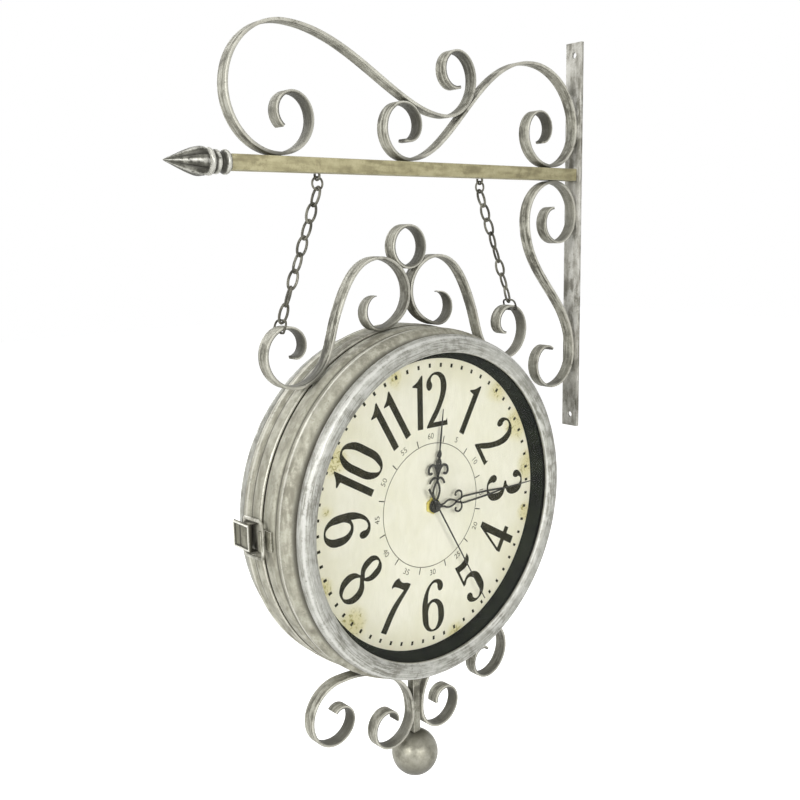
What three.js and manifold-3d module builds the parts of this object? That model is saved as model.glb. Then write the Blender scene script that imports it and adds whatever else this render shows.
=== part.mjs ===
// A double sided station clock, hung by two chains from a scrolled wall bracket.
// Millimetres, +Z up. The back of the wall plate lies in the plane X = 0, with the wall on its +X side.
// The arm runs along -X at the height Z = 0, and the clock's two dials face -Y and +Y.
import * as THREE from "three";
import { mergeVertices } from "three/addons/utils/BufferGeometryUtils.js";
import Module from "manifold-3d";

const wasm = await Module();
wasm.setup();

// Driving dimensions.
const gap = 0.3; // between pieces that touch
const runningGap = 0.4; // between a pin or shaft and its bore

const plateWidth = 16;
const plateThickness = 3;
const plateAbove = 107; // from the arm's axis to the plate's top
const plateBelow = 217;
const screwHole = 5;
const screwInset = 10;

const armReach = 338; // from the wall to the tube's free end
const armSize = 10;
const armWall = 1.2;
const finialReach = 44;
const finialRadius = 9;
const spigotLength = 12;

const bandWidth = 10; // all scrolls are bent from one flat strip
const bandThickness = 2.2;
const innerShrink = 0.8; // how far a curl tightens over the turn at its inner end

// Bends of the bracket's scrolls: radii of their middle lines, at the start and the end of each bend.
const armCurlStart = 32; // curl on the arm, under the outer loop
const armCurlEnd = 12;
const outerTouchInset = 36; // from the arm's free end to where the outer scroll rests on it
const outerLoopStart = 35;
const outerLoopEnd = 47;
const outerDip = 31; // where the outer scroll turns up again
const tipCurlEnd = 13;
const innerQuarter = 30.6; // bend in the corner over the arm
const innerRiseStart = 40;
const innerRiseEnd = 62;
const innerCurlReach = 156; // between the long scroll's two touches on the arm
const wallCurlStart = 36;
const wallCurlEnd = 12;
const tuckedLargest = 24; // the long scroll's left curl starts no larger than this
const lowerQuarter = 27; // bend in the corner under the arm
const lowerShoulderStart = 33;
const lowerShoulderEnd = 30;
const lowerTopCurlStart = 24;
const lowerTopCurlEnd = 9;
const lowerDrop = 150; // from the arm's axis to the lower touch on the plate
const lowerEndCurlStart = 30;
const lowerEndCurlEnd = 8;

const clockReach = 193; // from the wall to the clock's centre line
const clockDrop = 246; // from the arm's axis to the dials' centre
const drumRadius = 134;
const seamOffset = 1; // the two half cases part just behind the middle plane
const doorStep = 1.1; // the front case is this much smaller in radius
const sheet = 1.2; // wall of the pressed steel cases
const shellDepth = 30; // from the middle plane to a shell's front edge
const bezelDepth = 10.5; // from a shell's front edge to the bezel's front
const bezelSetIn = 5.4; // the bezel's outer radius lies this far inside the drum's
const rimWidth = 13.2; // from the bezel's outside to its opening
const rimFlange = 7; // where bezel and shell meet, a flange stands in this far
const beadOffset = 15; // from the middle plane to the groove rolled into each shell
const beadDepth = 1.2;
const beadHalfWidth = 1.4;
const shoulderLength = 6; // rounding of a shell towards its bezel
const shoulderDrop = 2.6;
const glassSetBack = 5; // from the bezel's front to the glass
const glassThickness = 2;
const dialSetBack = 5.8; // from a shell's front edge back to the dial's face
const dialThickness = 1;
const revealTaper = 5.2; // the dark wall between glass and dial narrows by this much towards the dial

const movementSize = 56;
const movementDepth = 16;
const postRadius = 4;
const postLength = 4.2; // how far the threaded post stands behind and through the dial
const nutRadius = 6.5;
const nutHeight = 2;
const batteryRadius = 7;
const batteryLength = 50;
const knobRadius = 6;
const knobHeight = 3;
const knobOffset = 15;
const hourLength = 73;
const minuteMargin = 11.4; // from the minute hand's tip to the opening's edge
const secondMargin = 17.4;
const secondTail = 22;
const handThickness = 0.6;
const handSpacing = 1.7; // from one hand's blade to the next
const hourHub = 5.2; // outer radius of the hour hand's disc
const hourBar = 3.8; // width of its blade at the hub
const hourTip = 2.6; // width of its point's foot
const lobeRadius = 3.6; // the three rings of its trefoil
const lobeHole = 1.7;
const lobeSpread = 4.6;
const lobeRise = 3.8;
const lobeDrop = 1.5;
const minuteHub = 4.2;
const minuteBar = 2.8;
const minuteTip = 2.2;
const sideRing = 2.9; // the two small rings beside the minute hand
const sideRingHole = 1.3;
const sideRingSpread = 3.9;
const twinSpread = 2.6; // half the width over the minute hand's twin bars
const twinInside = 0.8;
const secondHub = 2.4;
const secondWidth = 1.3;

// The crest's and the feet's strips: distances from the clock's centre line and from the drum.
const ringRadius = 16; // outside of the ring between the arches
const crestWaist = 24; // height at which the two strips meet
const crestTopReach = 28;
const crestTopHeight = 49.5;
const crestLegReach = 66;
const crestLegHeight = 11;
const crestCurlStart = 28;
const crestCurlEnd = 9;
const crestInnerStart = 14;
const crestInnerEnd = 10;
const footSeatDrop = 39;
const footShoulderReach = 74;
const footShoulderRise = 11;
const footCurlStart = 29;
const footCurlEnd = 9;
const footInnerStart = 23;
const bottomRodSize = 7;
const bottomRodLength = 58;
const ballRadius = 18.5;

const eyeSpacing = 155; // between the two chains, along the arm
const wire = 1.5; // chain wire
const eyeWire = 1.7;
const eyeRadius = 2.6;
const hangerRadius = 4.2; // mean radius of the ring that hangs in an eye
const linkCount = 8;
const linkWidth = 6.4; // outside width of a chain link
const hookHeight = 6;

const hingeHeight = 36;
const hingePin = 1.2;
const knuckleRadius = 2.6;
const leafLength = 15;
const leafThickness = 1.2;

const latchHeight = 22;
const latchPivot = 7; // from the seam back to the lever's pivot
const latchLift = 4.6; // from the drum to the lever's pivot
const leverLength = 14;
const loopWire = 1.8;
const loopHeight = 29;
const keeperReach = 7; // from the seam forward to the loop's cross wire

const latheSegments = 36;
const curlStep = 14; // degrees of turn from one station of a curl to the next

// Values that follow from those above.
const clockX = -clockReach;
const clockZ = -clockDrop;
const armTop = armSize / 2;
const bandRest = gap + bandThickness / 2; // from a surface to the middle of a strip that rests on it
const plateFace = -plateThickness;
const bezelRadius = drumRadius - bezelSetIn;
const openingRadius = bezelRadius - rimWidth;
const drumHalfDepth = shellDepth + bezelDepth;
const dialOffset = shellDepth - dialSetBack;
const minuteLength = openingRadius - minuteMargin;
const secondLength = openingRadius - secondMargin;

// --- Shapes -----------------------------------------------------------------------------------------

const radians = THREE.MathUtils.degToRad;

function closedSolid(geometry) {
  const bare = new THREE.BufferGeometry();
  bare.setAttribute("position", geometry.getAttribute("position").clone());
  bare.setIndex(geometry.getIndex());
  const merged = mergeVertices(bare, 1e-4);
  const vertProperties = new Float32Array(merged.getAttribute("position").array);
  const triVerts = new Uint32Array(merged.getIndex().array);
  return new wasm.Manifold(new wasm.Mesh({ numProp: 3, vertProperties, triVerts }));
}

function geometryOf(solid) {
  const mesh = solid.getMesh();
  const geometry = new THREE.BufferGeometry();
  geometry.setAttribute("position", new THREE.BufferAttribute(mesh.vertProperties, 3));
  geometry.setIndex(new THREE.BufferAttribute(mesh.triVerts, 1));
  geometry.computeVertexNormals();
  return geometry;
}

function join(geometries) {
  return geometryOf(geometries.map(closedSolid).reduce((whole, next) => whole.add(next)));
}

function cut(base, tools) {
  return geometryOf(tools.map(closedSolid).reduce((whole, tool) => whole.subtract(tool), closedSolid(base)));
}

// A box given by its lower and upper limits along each axis.
function boxBetween([x0, x1], [y0, y1], [z0, z1]) {
  const box = new THREE.BoxGeometry(x1 - x0, y1 - y0, z1 - z0);
  return box.translate((x0 + x1) / 2, (y0 + y1) / 2, (z0 + z1) / 2);
}

// A cylinder along X, Y or Z from one coordinate to another, centred on the other two.
function rodBetween(axis, from, to, radius, [a, b], sides = 16) {
  const rod = new THREE.CylinderGeometry(radius, radius, to - from, sides);
  const middle = (from + to) / 2;
  if (axis === "x") return rod.rotateZ(Math.PI / 2).translate(middle, a, b);
  if (axis === "y") return rod.translate(a, middle, b);
  return rod.rotateX(Math.PI / 2).translate(a, b, middle);
}

// A solid of revolution about Y; the profile is a list of [radius, height along Y].
function turned(profile, segments = latheSegments) {
  const points = profile.map(([radius, height]) => new THREE.Vector2(radius, height));
  if (THREE.ShapeUtils.isClockWise(points)) points.reverse();
  points.push(points[0].clone());
  return new THREE.LatheGeometry(points, segments);
}

// The far side of a pressed sheet: each point of the line moves by the sheet's thickness to its left.
function pressed(line, thickness) {
  const inner = line.map((point, i) => {
    const before = line[Math.max(i - 1, 0)];
    const after = line[Math.min(i + 1, line.length - 1)];
    const into = new THREE.Vector2(point[0] - before[0], point[1] - before[1]).normalize();
    const out = new THREE.Vector2(after[0] - point[0], after[1] - point[1]).normalize();
    if (i === 0) into.copy(out);
    if (i === line.length - 1) out.copy(into);
    const along = into.clone().add(out).normalize();
    const reach = thickness / Math.max(along.dot(out), 0.5);
    return [point[0] - along.y * reach, point[1] + along.x * reach];
  });
  return [...line, ...inner.reverse()];
}

// --- Bent strips ------------------------------------------------------------------------------------
// A station is a place in the XZ plane with a heading in radians, counted from +X towards +Z.

const station = (x, z, heading) => ({ x, z, heading });
const headed = (x, z, degrees) => station(x, z, radians(degrees));
const reversed = ({ x, z, heading }) => station(x, z, heading + Math.PI);
const mirrored = (points) => points.map(({ x, z, heading }) => station(-x, z, Math.PI - heading));

// A curl from a station on, from one radius to the other. A left turn is positive. With an ease of 1
// the radius changes evenly; with an ease of 2 it changes fast at first and slowly at the end.
function curl(start, radiusFrom, radiusTo, turnDegrees, ease = 1) {
  const steps = Math.ceil(Math.abs(turnDegrees) / curlStep);
  const stepTurn = radians(turnDegrees) / steps;
  const points = [];
  let { x, z, heading } = start;
  for (let i = 0; i < steps; i += 1) {
    const left = (1 - (i + 0.5) / steps) ** ease;
    const radius = THREE.MathUtils.lerp(radiusTo, radiusFrom, left);
    const chord = 2 * radius * Math.sin(Math.abs(stepTurn) / 2);
    x += chord * Math.cos(heading + stepTurn / 2);
    z += chord * Math.sin(heading + stepTurn / 2);
    heading += stepTurn;
    points.push(station(x, z, heading));
  }
  return points;
}

// A smooth run between two stations that leaves and arrives along their headings. The shares say
// how far it holds each heading, of the straight distance.
function sweep(from, to, leaving = 0.38, arriving = leaving) {
  const distance = Math.hypot(to.x - from.x, to.z - from.z);
  const out = leaving * distance;
  const back = arriving * distance;
  const curve = new THREE.CubicBezierCurve(
    new THREE.Vector2(from.x, from.z),
    new THREE.Vector2(from.x + out * Math.cos(from.heading), from.z + out * Math.sin(from.heading)),
    new THREE.Vector2(to.x - back * Math.cos(to.heading), to.z - back * Math.sin(to.heading)),
    new THREE.Vector2(to.x, to.z),
  );
  const count = 10;
  const points = [];
  for (let i = 1; i <= count; i += 1) {
    const place = curve.getPoint(i / count);
    const tangent = curve.getTangent(i / count);
    points.push(station(place.x, place.y, Math.atan2(tangent.y, tangent.x)));
  }
  return points;
}

const last = (points) => points[points.length - 1];

// A curl whose inner end turns further, a little tighter.
function longCurl(start, radiusFrom, radiusTo, turnDegrees, endTurn, ease = 1) {
  const points = curl(start, radiusFrom, radiusTo, turnDegrees, ease);
  return [...points, ...curl(last(points), radiusTo, innerShrink * radiusTo, endTurn)];
}

const backwards = (points) => points.slice().reverse().map(reversed);

// A flat strip along its stations, centred on the plane Y = 0.
function strip(points) {
  const beside = (distance) => ({ x, z, heading }) => {
    return new THREE.Vector2(x - distance * Math.sin(heading), z + distance * Math.cos(heading));
  };
  const left = points.map(beside(bandThickness / 2));
  const right = points.map(beside(-bandThickness / 2));
  const outline = new THREE.Shape([...left, ...right.reverse()]);
  const band = new THREE.ExtrudeGeometry(outline, { depth: bandWidth, bevelEnabled: false });
  return band.rotateX(Math.PI / 2).translate(0, bandWidth / 2, 0);
}

// Evenly spaced places along the middle of a strip.
function placesAlong(points, count) {
  const line = new THREE.SplineCurve(points.map(({ x, z }) => new THREE.Vector2(x, z)));
  return line.getSpacedPoints(count);
}

// A round wire along a list of points.
function bentWire(points, diameter, steps, sides = 6) {
  const section = new THREE.Shape();
  for (let i = 0; i < sides; i += 1) {
    const angle = (2 * Math.PI * i) / sides;
    const place = [(diameter / 2) * Math.cos(angle), (diameter / 2) * Math.sin(angle)];
    if (i === 0) section.moveTo(...place);
    else section.lineTo(...place);
  }
  const curve = new THREE.CatmullRomCurve3(points, false, "centripetal");
  return new THREE.ExtrudeGeometry(section, { steps, extrudePath: curve });
}

// --- Materials --------------------------------------------------------------------------------------

function metal(color, roughness) {
  return () => new THREE.MeshStandardMaterial({ color, roughness, metalness: 0.8 });
}

function plain(color, roughness) {
  return () => new THREE.MeshStandardMaterial({ color, roughness, metalness: 0 });
}

const agedSilver = metal(0x8d8a7c, 0.5);
const paleArm = metal(0xa5a07d, 0.55);
const darkSteel = metal(0x44423a, 0.55);
const brightSteel = metal(0xb4b2a6, 0.35);
const brass = metal(0xc9a648, 0.3);
const blackPaint = plain(0x2b2d26, 0.6);
const paper = plain(0xeeecd7, 0.8);
const blackPlastic = plain(0x1e1e1e, 0.5);
const greyLabel = plain(0x7d8288, 0.5);

function glassMaterial() {
  return new THREE.MeshStandardMaterial({
    color: 0xf4f8f6, roughness: 0.05, metalness: 0, transparent: true, opacity: 0.2,
  });
}

const clock = new THREE.Group();

function piece(name, geometry, material, group = clock) {
  const mesh = new THREE.Mesh(geometry, material());
  mesh.name = name;
  group.add(mesh);
}

// --- The bracket ------------------------------------------------------------------------------------

function wallPlate() {
  const bar = boxBetween([plateFace, 0], [-plateWidth / 2, plateWidth / 2], [-plateBelow, plateAbove]);
  const heights = [plateAbove - screwInset, screwInset - plateBelow];
  return cut(bar, heights.map((z) => rodBetween("x", plateFace - 1, 1, screwHole / 2, [0, z])));
}

function armTube() {
  const half = armSize / 2;
  const inner = half - armWall;
  const [near, far] = [plateFace - gap, -armReach];
  const bar = boxBetween([far, near], [-half, half], [-half, half]);
  return cut(bar, [boxBetween([far - 1, near + 1], [-inner, inner], [-inner, inner])]);
}

// The cast bud on the arm's end: beads and collars, then a bud whose petals close to a point.
function armFinial() {
  const f = finialReach;
  const r = finialRadius;
  const profile = [
    [0, 0], [0.7 * r, 0], [0.86 * r, 0.03 * f], [0.86 * r, 0.07 * f], [0.62 * r, 0.12 * f],
    [0.62 * r, 0.15 * f], [0.84 * r, 0.18 * f], [0.84 * r, 0.22 * f], [0.7 * r, 0.26 * f],
    [0.95 * r, 0.29 * f], [0.95 * r, 0.33 * f], [r, 0.38 * f], [0.92 * r, 0.48 * f],
    [0.76 * r, 0.6 * f], [0.55 * r, 0.73 * f], [0.3 * r, 0.88 * f], [0, f],
  ];
  const bud = new THREE.LatheGeometry(profile.map(([a, b]) => new THREE.Vector2(a, b)), 18);
  const place = bud.getAttribute("position");
  const petals = 6;
  const petalDepth = 0.09;
  for (let i = 0; i < place.count; i += 1) {
    const along = place.getY(i) / f;
    const angle = Math.atan2(place.getZ(i), place.getX(i));
    const swell = along > 0.34 ? 1 + petalDepth * Math.cos(petals * angle) : 1;
    place.setX(i, place.getX(i) * swell);
    place.setZ(i, place.getZ(i) * swell);
  }
  const half = armSize / 2 - armWall - gap;
  const spigot = boxBetween([-spigotLength, 1], [-half, half], [-half, half]);
  return join([bud.rotateZ(Math.PI / 2), spigot.rotateZ(Math.PI)]).translate(-armReach - gap, 0, 0);
}

// The long scroll starts on the plate, runs over to its left curl, and rests on the arm twice.
const innerPlateTouch = headed(plateFace - bandRest, armTop + bandRest + innerQuarter, 90);
const innerArmTouch = headed(plateFace - bandRest - innerQuarter, armTop + bandRest, 0);
const innerLeftTouch = headed(innerArmTouch.x - innerCurlReach, armTop + bandRest, 180);
const innerRise = curl(innerPlateTouch, innerRiseStart, innerRiseEnd, 90);
const innerRun = sweep(last(innerRise), innerLeftTouch, 0.4, 0.29);

// The outer scroll rests on the arm near its end, and its right curl rests on the long scroll's run.
const outerTouch = headed(-armReach + outerTouchInset, armTop + bandRest, 180);
const outerLoop = curl(outerTouch, outerLoopStart, outerLoopEnd, -180);
const outerRestAt = innerRun[Math.floor(innerRun.length / 2) - 1];
const outerRest = station(
  outerRestAt.x + (bandThickness + gap) * Math.sin(outerRestAt.heading),
  outerRestAt.z - (bandThickness + gap) * Math.cos(outerRestAt.heading),
  outerRestAt.heading + Math.PI,
);
const troughTurn = -THREE.MathUtils.radToDeg(outerRest.heading);
const outerTrough = curl(reversed(outerRest), outerDip, outerDip, troughTurn);
const outerRun = sweep(last(outerLoop), reversed(last(outerTrough)), 0.37, 0.3);

const upperOuterPoints = [
  ...backwards(longCurl(reversed(outerTouch), armCurlStart, armCurlEnd, 300, 25, 3)),
  outerTouch,
  ...outerLoop,
  ...outerRun,
  ...backwards(outerTrough).slice(1),
  outerRest,
  ...longCurl(outerRest, outerDip, tipCurlEnd, 255, 80, 3),
];

// The long scroll's left curl is as large as fits under the outer scroll's run.
const tuckedCurl = (radius) => longCurl(innerLeftTouch, 1.15 * radius, 0.6 * radius, -300, -75);

function nearest(points, others) {
  const places = placesAlong(others, 120);
  return Math.min(...placesAlong(points, 60).flatMap((a) => places.map((b) => a.distanceTo(b))));
}

let tuckedRadius = tuckedLargest / 1.15;
while (nearest(tuckedCurl(tuckedRadius), outerRun) < bandThickness + gap) tuckedRadius -= 0.1;

const upperInnerPoints = [
  ...backwards(longCurl(reversed(innerArmTouch), wallCurlStart, wallCurlEnd, -300, -45, 3)),
  innerArmTouch,
  ...curl(innerArmTouch, innerQuarter, innerQuarter, 90),
  ...innerRise,
  ...innerRun,
  ...tuckedCurl(tuckedRadius),
];

// The lower scroll hangs in the corner below the arm and touches the plate twice.
const lowerArmTouch = headed(plateFace - bandRest - lowerQuarter, -armTop - bandRest, 180);
const lowerPlateTouch = headed(plateFace - bandRest, -armTop - bandRest - lowerQuarter, 90);
const lowerShoulder = curl(lowerArmTouch, lowerShoulderStart, lowerShoulderEnd, 90);
const lowerEndTouch = headed(plateFace - bandRest, -lowerDrop, -90);

const lowerPoints = [
  ...backwards(curl(reversed(lowerPlateTouch), lowerTopCurlStart, lowerTopCurlEnd, -270)),
  lowerPlateTouch,
  ...curl(lowerPlateTouch, lowerQuarter, lowerQuarter, 90),
  ...lowerShoulder,
  ...sweep(last(lowerShoulder), lowerEndTouch),
  ...curl(lowerEndTouch, lowerEndCurlStart, lowerEndCurlEnd, -315),
];

// --- The crest and the feet of the clock ------------------------------------------------------------
// These points are counted from the dials' centre, for the right-hand strip of each mirrored pair.

const onDrum = drumRadius + bandRest; // radius on which a strip's middle line touches the drum
const drumTouch = (degrees, heading) => {
  const angle = radians(degrees);
  return headed(onDrum * Math.cos(angle), onDrum * Math.sin(angle), heading);
};

const crestCurlTurn = 330;
const crestSeat = drumTouch(79, 169);
const crestMeet = headed(bandRest - gap / 2, drumRadius + crestWaist, 90);
const crestTop = headed(crestTopReach, drumRadius + crestTopHeight, 0);
const crestLeg = headed(crestLegReach, drumRadius + crestLegHeight, -68);
const crestFoot = drumTouch(51, -39);
const crestArch = [
  ...sweep(crestSeat, crestMeet),
  ...sweep(crestMeet, crestTop),
  ...sweep(crestTop, crestLeg),
];
const crestCurl = curl(crestFoot, crestCurlStart, crestCurlEnd, crestCurlTurn);
const crestPoints = [
  ...backwards(curl(reversed(crestSeat), crestInnerStart, crestInnerEnd, 200)),
  crestSeat,
  ...crestArch,
  ...sweep(crestLeg, crestFoot),
  ...crestCurl,
  ...curl(last(crestCurl), crestCurlEnd, innerShrink * crestCurlEnd, 65),
];

// The ring is lowered between the arches until it rests on both.
const ringLine = ringRadius - bandThickness / 2;
const ringRest = ringLine + bandThickness + gap;
const ringHeight = Math.max(
  ...placesAlong(crestArch, 200)
    .filter(({ x, y }) => x < ringRest && y > crestMeet.z)
    .map(({ x, y }) => y + Math.sqrt(ringRest ** 2 - x ** 2)),
);

const footRest = bottomRodSize / 2 + bandRest;
const footSeat = headed(footRest, -drumRadius - footSeatDrop, 90);
const footTouch = drumTouch(-69.5, 20.5);
const footShoulder = headed(footShoulderReach, -drumRadius + footShoulderRise, 0);
const footPoints = [
  ...backwards(longCurl(reversed(footSeat), footInnerStart, footCurlEnd, 320, 50)),
  footSeat,
  ...sweep(footSeat, footTouch, 0.42),
  ...sweep(footTouch, footShoulder),
  ...longCurl(footShoulder, footCurlStart, footCurlEnd, -345, -65),
];

function placed(points) {
  return points.map(({ x, z, heading }) => station(clockX + x, clockZ + z, heading));
}

function crestRing() {
  const half = bandWidth / 2;
  const inner = ringRadius - bandThickness;
  const ring = turned([[inner, -half], [ringRadius, -half], [ringRadius, half], [inner, half]], 32);
  return ring.translate(clockX, 0, clockZ + ringHeight);
}

function bottomRod() {
  const half = bottomRodSize / 2;
  const top = -drumRadius - gap;
  return boxBetween([-half, half], [-half, half], [top - bottomRodLength, top]).translate(clockX, 0, clockZ);
}

const ballSeat = Math.sqrt(ballRadius ** 2 - bottomRodSize ** 2 / 2);
const ballHeight = -drumRadius - 2 * gap - bottomRodLength - ballSeat;

function bottomBall() {
  const whole = new THREE.SphereGeometry(ballRadius, 20, 12);
  const seat = ballHeight + Math.sqrt(ballRadius ** 2 - bottomRodSize ** 2 / 2);
  const flat = boxBetween([-ballRadius, ballRadius], [-ballRadius, ballRadius], [seat, seat + ballRadius]);
  return cut(whole.rotateX(Math.PI / 2).translate(0, 0, ballHeight), [flat]).translate(clockX, 0, clockZ);
}

// --- Chains -----------------------------------------------------------------------------------------

const eyeDrop = 1.5; // straight length of an eye's legs
const eyeBottom = -armTop - gap - eyeDrop - eyeRadius;
const hangerTop = eyeBottom + eyeWire / 2 + gap + wire / 2;
const hangerBottom = hangerTop - 2 * hangerRadius;

// A staple under the arm, bent in the plane across the arm.
function chainEye(x) {
  const points = [new THREE.Vector3(x, -eyeRadius, -armTop - gap)];
  for (let i = 0; i <= 8; i += 1) {
    const angle = Math.PI * (1 + i / 8);
    const y = eyeRadius * Math.cos(angle);
    points.push(new THREE.Vector3(x, y, eyeBottom + eyeRadius + eyeRadius * Math.sin(angle)));
  }
  points.push(new THREE.Vector3(x, eyeRadius, -armTop - gap));
  return bentWire(points, eyeWire, 16, 8);
}

function hangerRing(x) {
  const ring = new THREE.TorusGeometry(hangerRadius, wire / 2, 6, 20);
  return ring.rotateX(Math.PI / 2).translate(x, 0, hangerTop - hangerRadius);
}

// A straight sided link: the two halves of a ring moved apart along Z.
function chainLink(halfLength, halfWidth) {
  const link = new THREE.TorusGeometry(halfWidth, wire / 2, 5, 8);
  link.rotateZ(Math.PI / 8);
  const place = link.getAttribute("position");
  for (let i = 0; i < place.count; i += 1) {
    place.setY(i, place.getY(i) + Math.sign(place.getY(i)) * (halfLength - halfWidth));
  }
  return link.rotateX(Math.PI / 2);
}

// The hook goes over the crest's outer curl, just short of the curl's top.
const hookTurn = 200; // degrees along the outer curl from where it leaves the drum
const hookStation = crestCurl[Math.round((hookTurn / crestCurlTurn) * (crestCurl.length - 1))];

function chainParts(side) {
  const eyeX = clockX + (side * eyeSpacing) / 2;
  const band = new THREE.Vector3(clockX + side * hookStation.x, 0, clockZ + hookStation.z);
  const ringBottom = new THREE.Vector3(eyeX, 0, hangerBottom);
  const up = ringBottom.clone().sub(band).normalize();
  const hookTop = band.clone().addScaledVector(up, hookHeight);
  const down = up.clone().negate();
  const overlap = 0.8 * wire;
  const span = ringBottom.distanceTo(hookTop) + 2 * (wire + gap);
  const linkLength = (span + (linkCount - 1) * overlap) / linkCount;
  const pitch = linkLength - overlap;
  const start = ringBottom.clone().addScaledVector(up, wire + gap);
  const lean = Math.atan2(up.x, up.z);
  const links = [];
  for (let i = 0; i < linkCount; i += 1) {
    const link = chainLink(linkLength / 2, (linkWidth - wire) / 2);
    if (i % 2 === 0) link.rotateZ(Math.PI / 2);
    const middle = start.clone().addScaledVector(down, linkLength / 2 + i * pitch);
    links.push(link.rotateY(lean).translate(middle.x, middle.y, middle.z));
  }
  return { chain: join(links), hook: chainHook(band, up) };
}

// An open wire hook around the strip, wide enough for its edges and square to the chain.
function chainHook(band, up) {
  const halfWide = bandWidth / 2 + gap + wire / 2 + 0.3;
  const normal = new THREE.Vector3(Math.sin(hookStation.heading), 0, -Math.cos(hookStation.heading));
  normal.x *= Math.sign(band.x - clockX);
  const skew = Math.max(normal.dot(up), 0.5);
  const low = -(bandThickness / 2 / skew + gap + wire / 2 + 0.4);
  const corner = 2.6;
  const outline = new THREE.Path();
  outline.moveTo(1, low);
  outline.lineTo(halfWide - 1, low);
  outline.quadraticCurveTo(halfWide, low, halfWide, low + 1);
  outline.lineTo(halfWide, hookHeight - corner);
  outline.absarc(halfWide - corner, hookHeight - corner, corner, 0, Math.PI / 2);
  outline.lineTo(corner - halfWide, hookHeight);
  outline.absarc(corner - halfWide, hookHeight - corner, corner, Math.PI / 2, Math.PI);
  outline.lineTo(-halfWide, low + 1);
  outline.quadraticCurveTo(-halfWide, low, 1 - halfWide, low);
  outline.lineTo(-2.5, low);
  const points = outline.getSpacedPoints(30).map(({ x, y }) => {
    return new THREE.Vector3(band.x + up.x * y, x, band.z + up.z * y);
  });
  return bentWire(points, wire, 30);
}

// --- The half cases ---------------------------------------------------------------------------------
// Profiles are lists of [radius, distance from the middle plane towards the dial].

const seamGap = gap / 2;
const bezelInside = bezelRadius - sheet;
const glassRadius = bezelInside - 2 * gap;
const dialRadius = drumRadius - doorStep - sheet - 2;
const lipDepth = drumHalfDepth - glassSetBack + gap;
const glassFront = lipDepth - gap;
const glassBack = glassFront - glassThickness;
const dialBack = dialOffset - dialThickness;
const movementFront = dialBack - gap;
const movementBack = movementFront - movementDepth;

function shell(seam, radius) {
  const roll = 0.9; // rounding of the edge at the seam
  const line = [
    [radius - roll, seam],
    [radius, seam + roll],
    [radius, beadOffset - beadHalfWidth],
    [radius - beadDepth, beadOffset],
    [radius, beadOffset + beadHalfWidth],
    [radius, shellDepth - shoulderLength],
    [radius - shoulderDrop, shellDepth - shoulderLength / 3],
    [bezelRadius, shellDepth],
    [bezelRadius - rimFlange, shellDepth],
  ];
  return turned(pressed(line, sheet));
}

function bezel() {
  const front = drumHalfDepth;
  const roll = (front - shellDepth) / 2; // the rim is rolled over from its side to its front
  const line = [
    [bezelRadius - rimFlange, shellDepth + gap],
    [bezelRadius - 0.12 * roll, shellDepth + gap],
    [bezelRadius, front - 0.85 * roll],
    [bezelRadius - 0.3 * roll, front - 0.28 * roll],
    [bezelRadius - roll, front],
    [openingRadius + 0.5 * roll, front - 0.15 * roll],
    [openingRadius, front - 0.5 * roll],
    [openingRadius, lipDepth],
  ];
  return turned(pressed(line, sheet));
}

function glass() {
  return turned([[0, glassBack], [glassRadius, glassBack], [glassRadius, glassFront], [0, glassFront]]);
}

// The dark wall between glass and dial, with a flange against each.
function reveal() {
  const inner = openingRadius + 0.2;
  const foot = inner - revealTaper;
  const front = glassBack - gap;
  const back = dialOffset + gap;
  return turned([
    [inner, front], [glassRadius, front], [glassRadius, front - sheet], [inner + sheet, front - sheet],
    [foot + sheet, back + sheet], [dialRadius, back + sheet], [dialRadius, back], [foot, back],
  ]);
}

const postHole = postRadius + gap;

function dial() {
  return turned([
    [postHole, dialBack],
    [dialRadius, dialBack],
    [dialRadius, dialOffset],
    [postHole, dialOffset],
  ]);
}

// The clock movement: a box with a battery bay, a knob's hole and the threaded post for the hands.
const postFront = dialOffset + postLength - dialThickness;
const hourTube = 2.6;
const minuteTube = 1.6;
const secondPin = 0.7;
const postBore = hourTube + runningGap;
const boreDepth = 5;
const bayHeight = -movementSize / 2 + 2 + gap + batteryRadius;
const knobPin = 1.5;

function movement() {
  const half = movementSize / 2;
  const box = boxBetween([-half, half], [movementBack, movementFront], [-half, half]);
  const post = rodBetween("y", movementFront - 1, postFront, postRadius, [0, 0], 24);
  const bore = rodBetween("y", movementFront - boreDepth, postFront + 1, postBore, [0, 0], 24);
  const bayDepth = movementBack + 2 * (batteryRadius + gap);
  const bayHalf = batteryLength / 2 + gap;
  const bayReach = batteryRadius + gap;
  const baySpan = [bayHeight - bayReach, bayHeight + bayReach];
  const bay = boxBetween([-bayHalf, bayHalf], [movementBack - 1, bayDepth], baySpan);
  const hole = rodBetween("y", movementBack - 1, movementBack + 4, knobPin + runningGap, [0, knobOffset]);
  return cut(join([box, post]), [bore, bay, hole]);
}

function movementNut() {
  const nut = rodBetween("y", dialOffset + gap, dialOffset + gap + nutHeight, nutRadius, [0, 0], 6);
  return cut(nut, [rodBetween("y", dialOffset - 1, dialOffset + nutHeight + 2, postHole, [0, 0], 24)]);
}

function battery() {
  const middle = movementBack + gap + batteryRadius;
  const half = batteryLength / 2 - 1.2;
  const cell = rodBetween("x", -half, half, batteryRadius, [middle, bayHeight], 20);
  return join([cell, rodBetween("x", half - 1, half + 1.2, 2.7, [middle, bayHeight], 12)]);
}

function setKnob() {
  const knobFace = movementBack - gap;
  const knob = rodBetween("y", knobFace - knobHeight, knobFace, knobRadius, [0, knobOffset], 18);
  return join([knob, rodBetween("y", knobFace - 1, movementBack + 3.6, knobPin, [0, knobOffset], 12)]);
}

// --- Hands ------------------------------------------------------------------------------------------
// A hand is drawn pointing to +Z, in the plane of its blade.

const hourPlane = postFront + gap;
const tubeBack = movementFront - boreDepth + gap;

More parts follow.
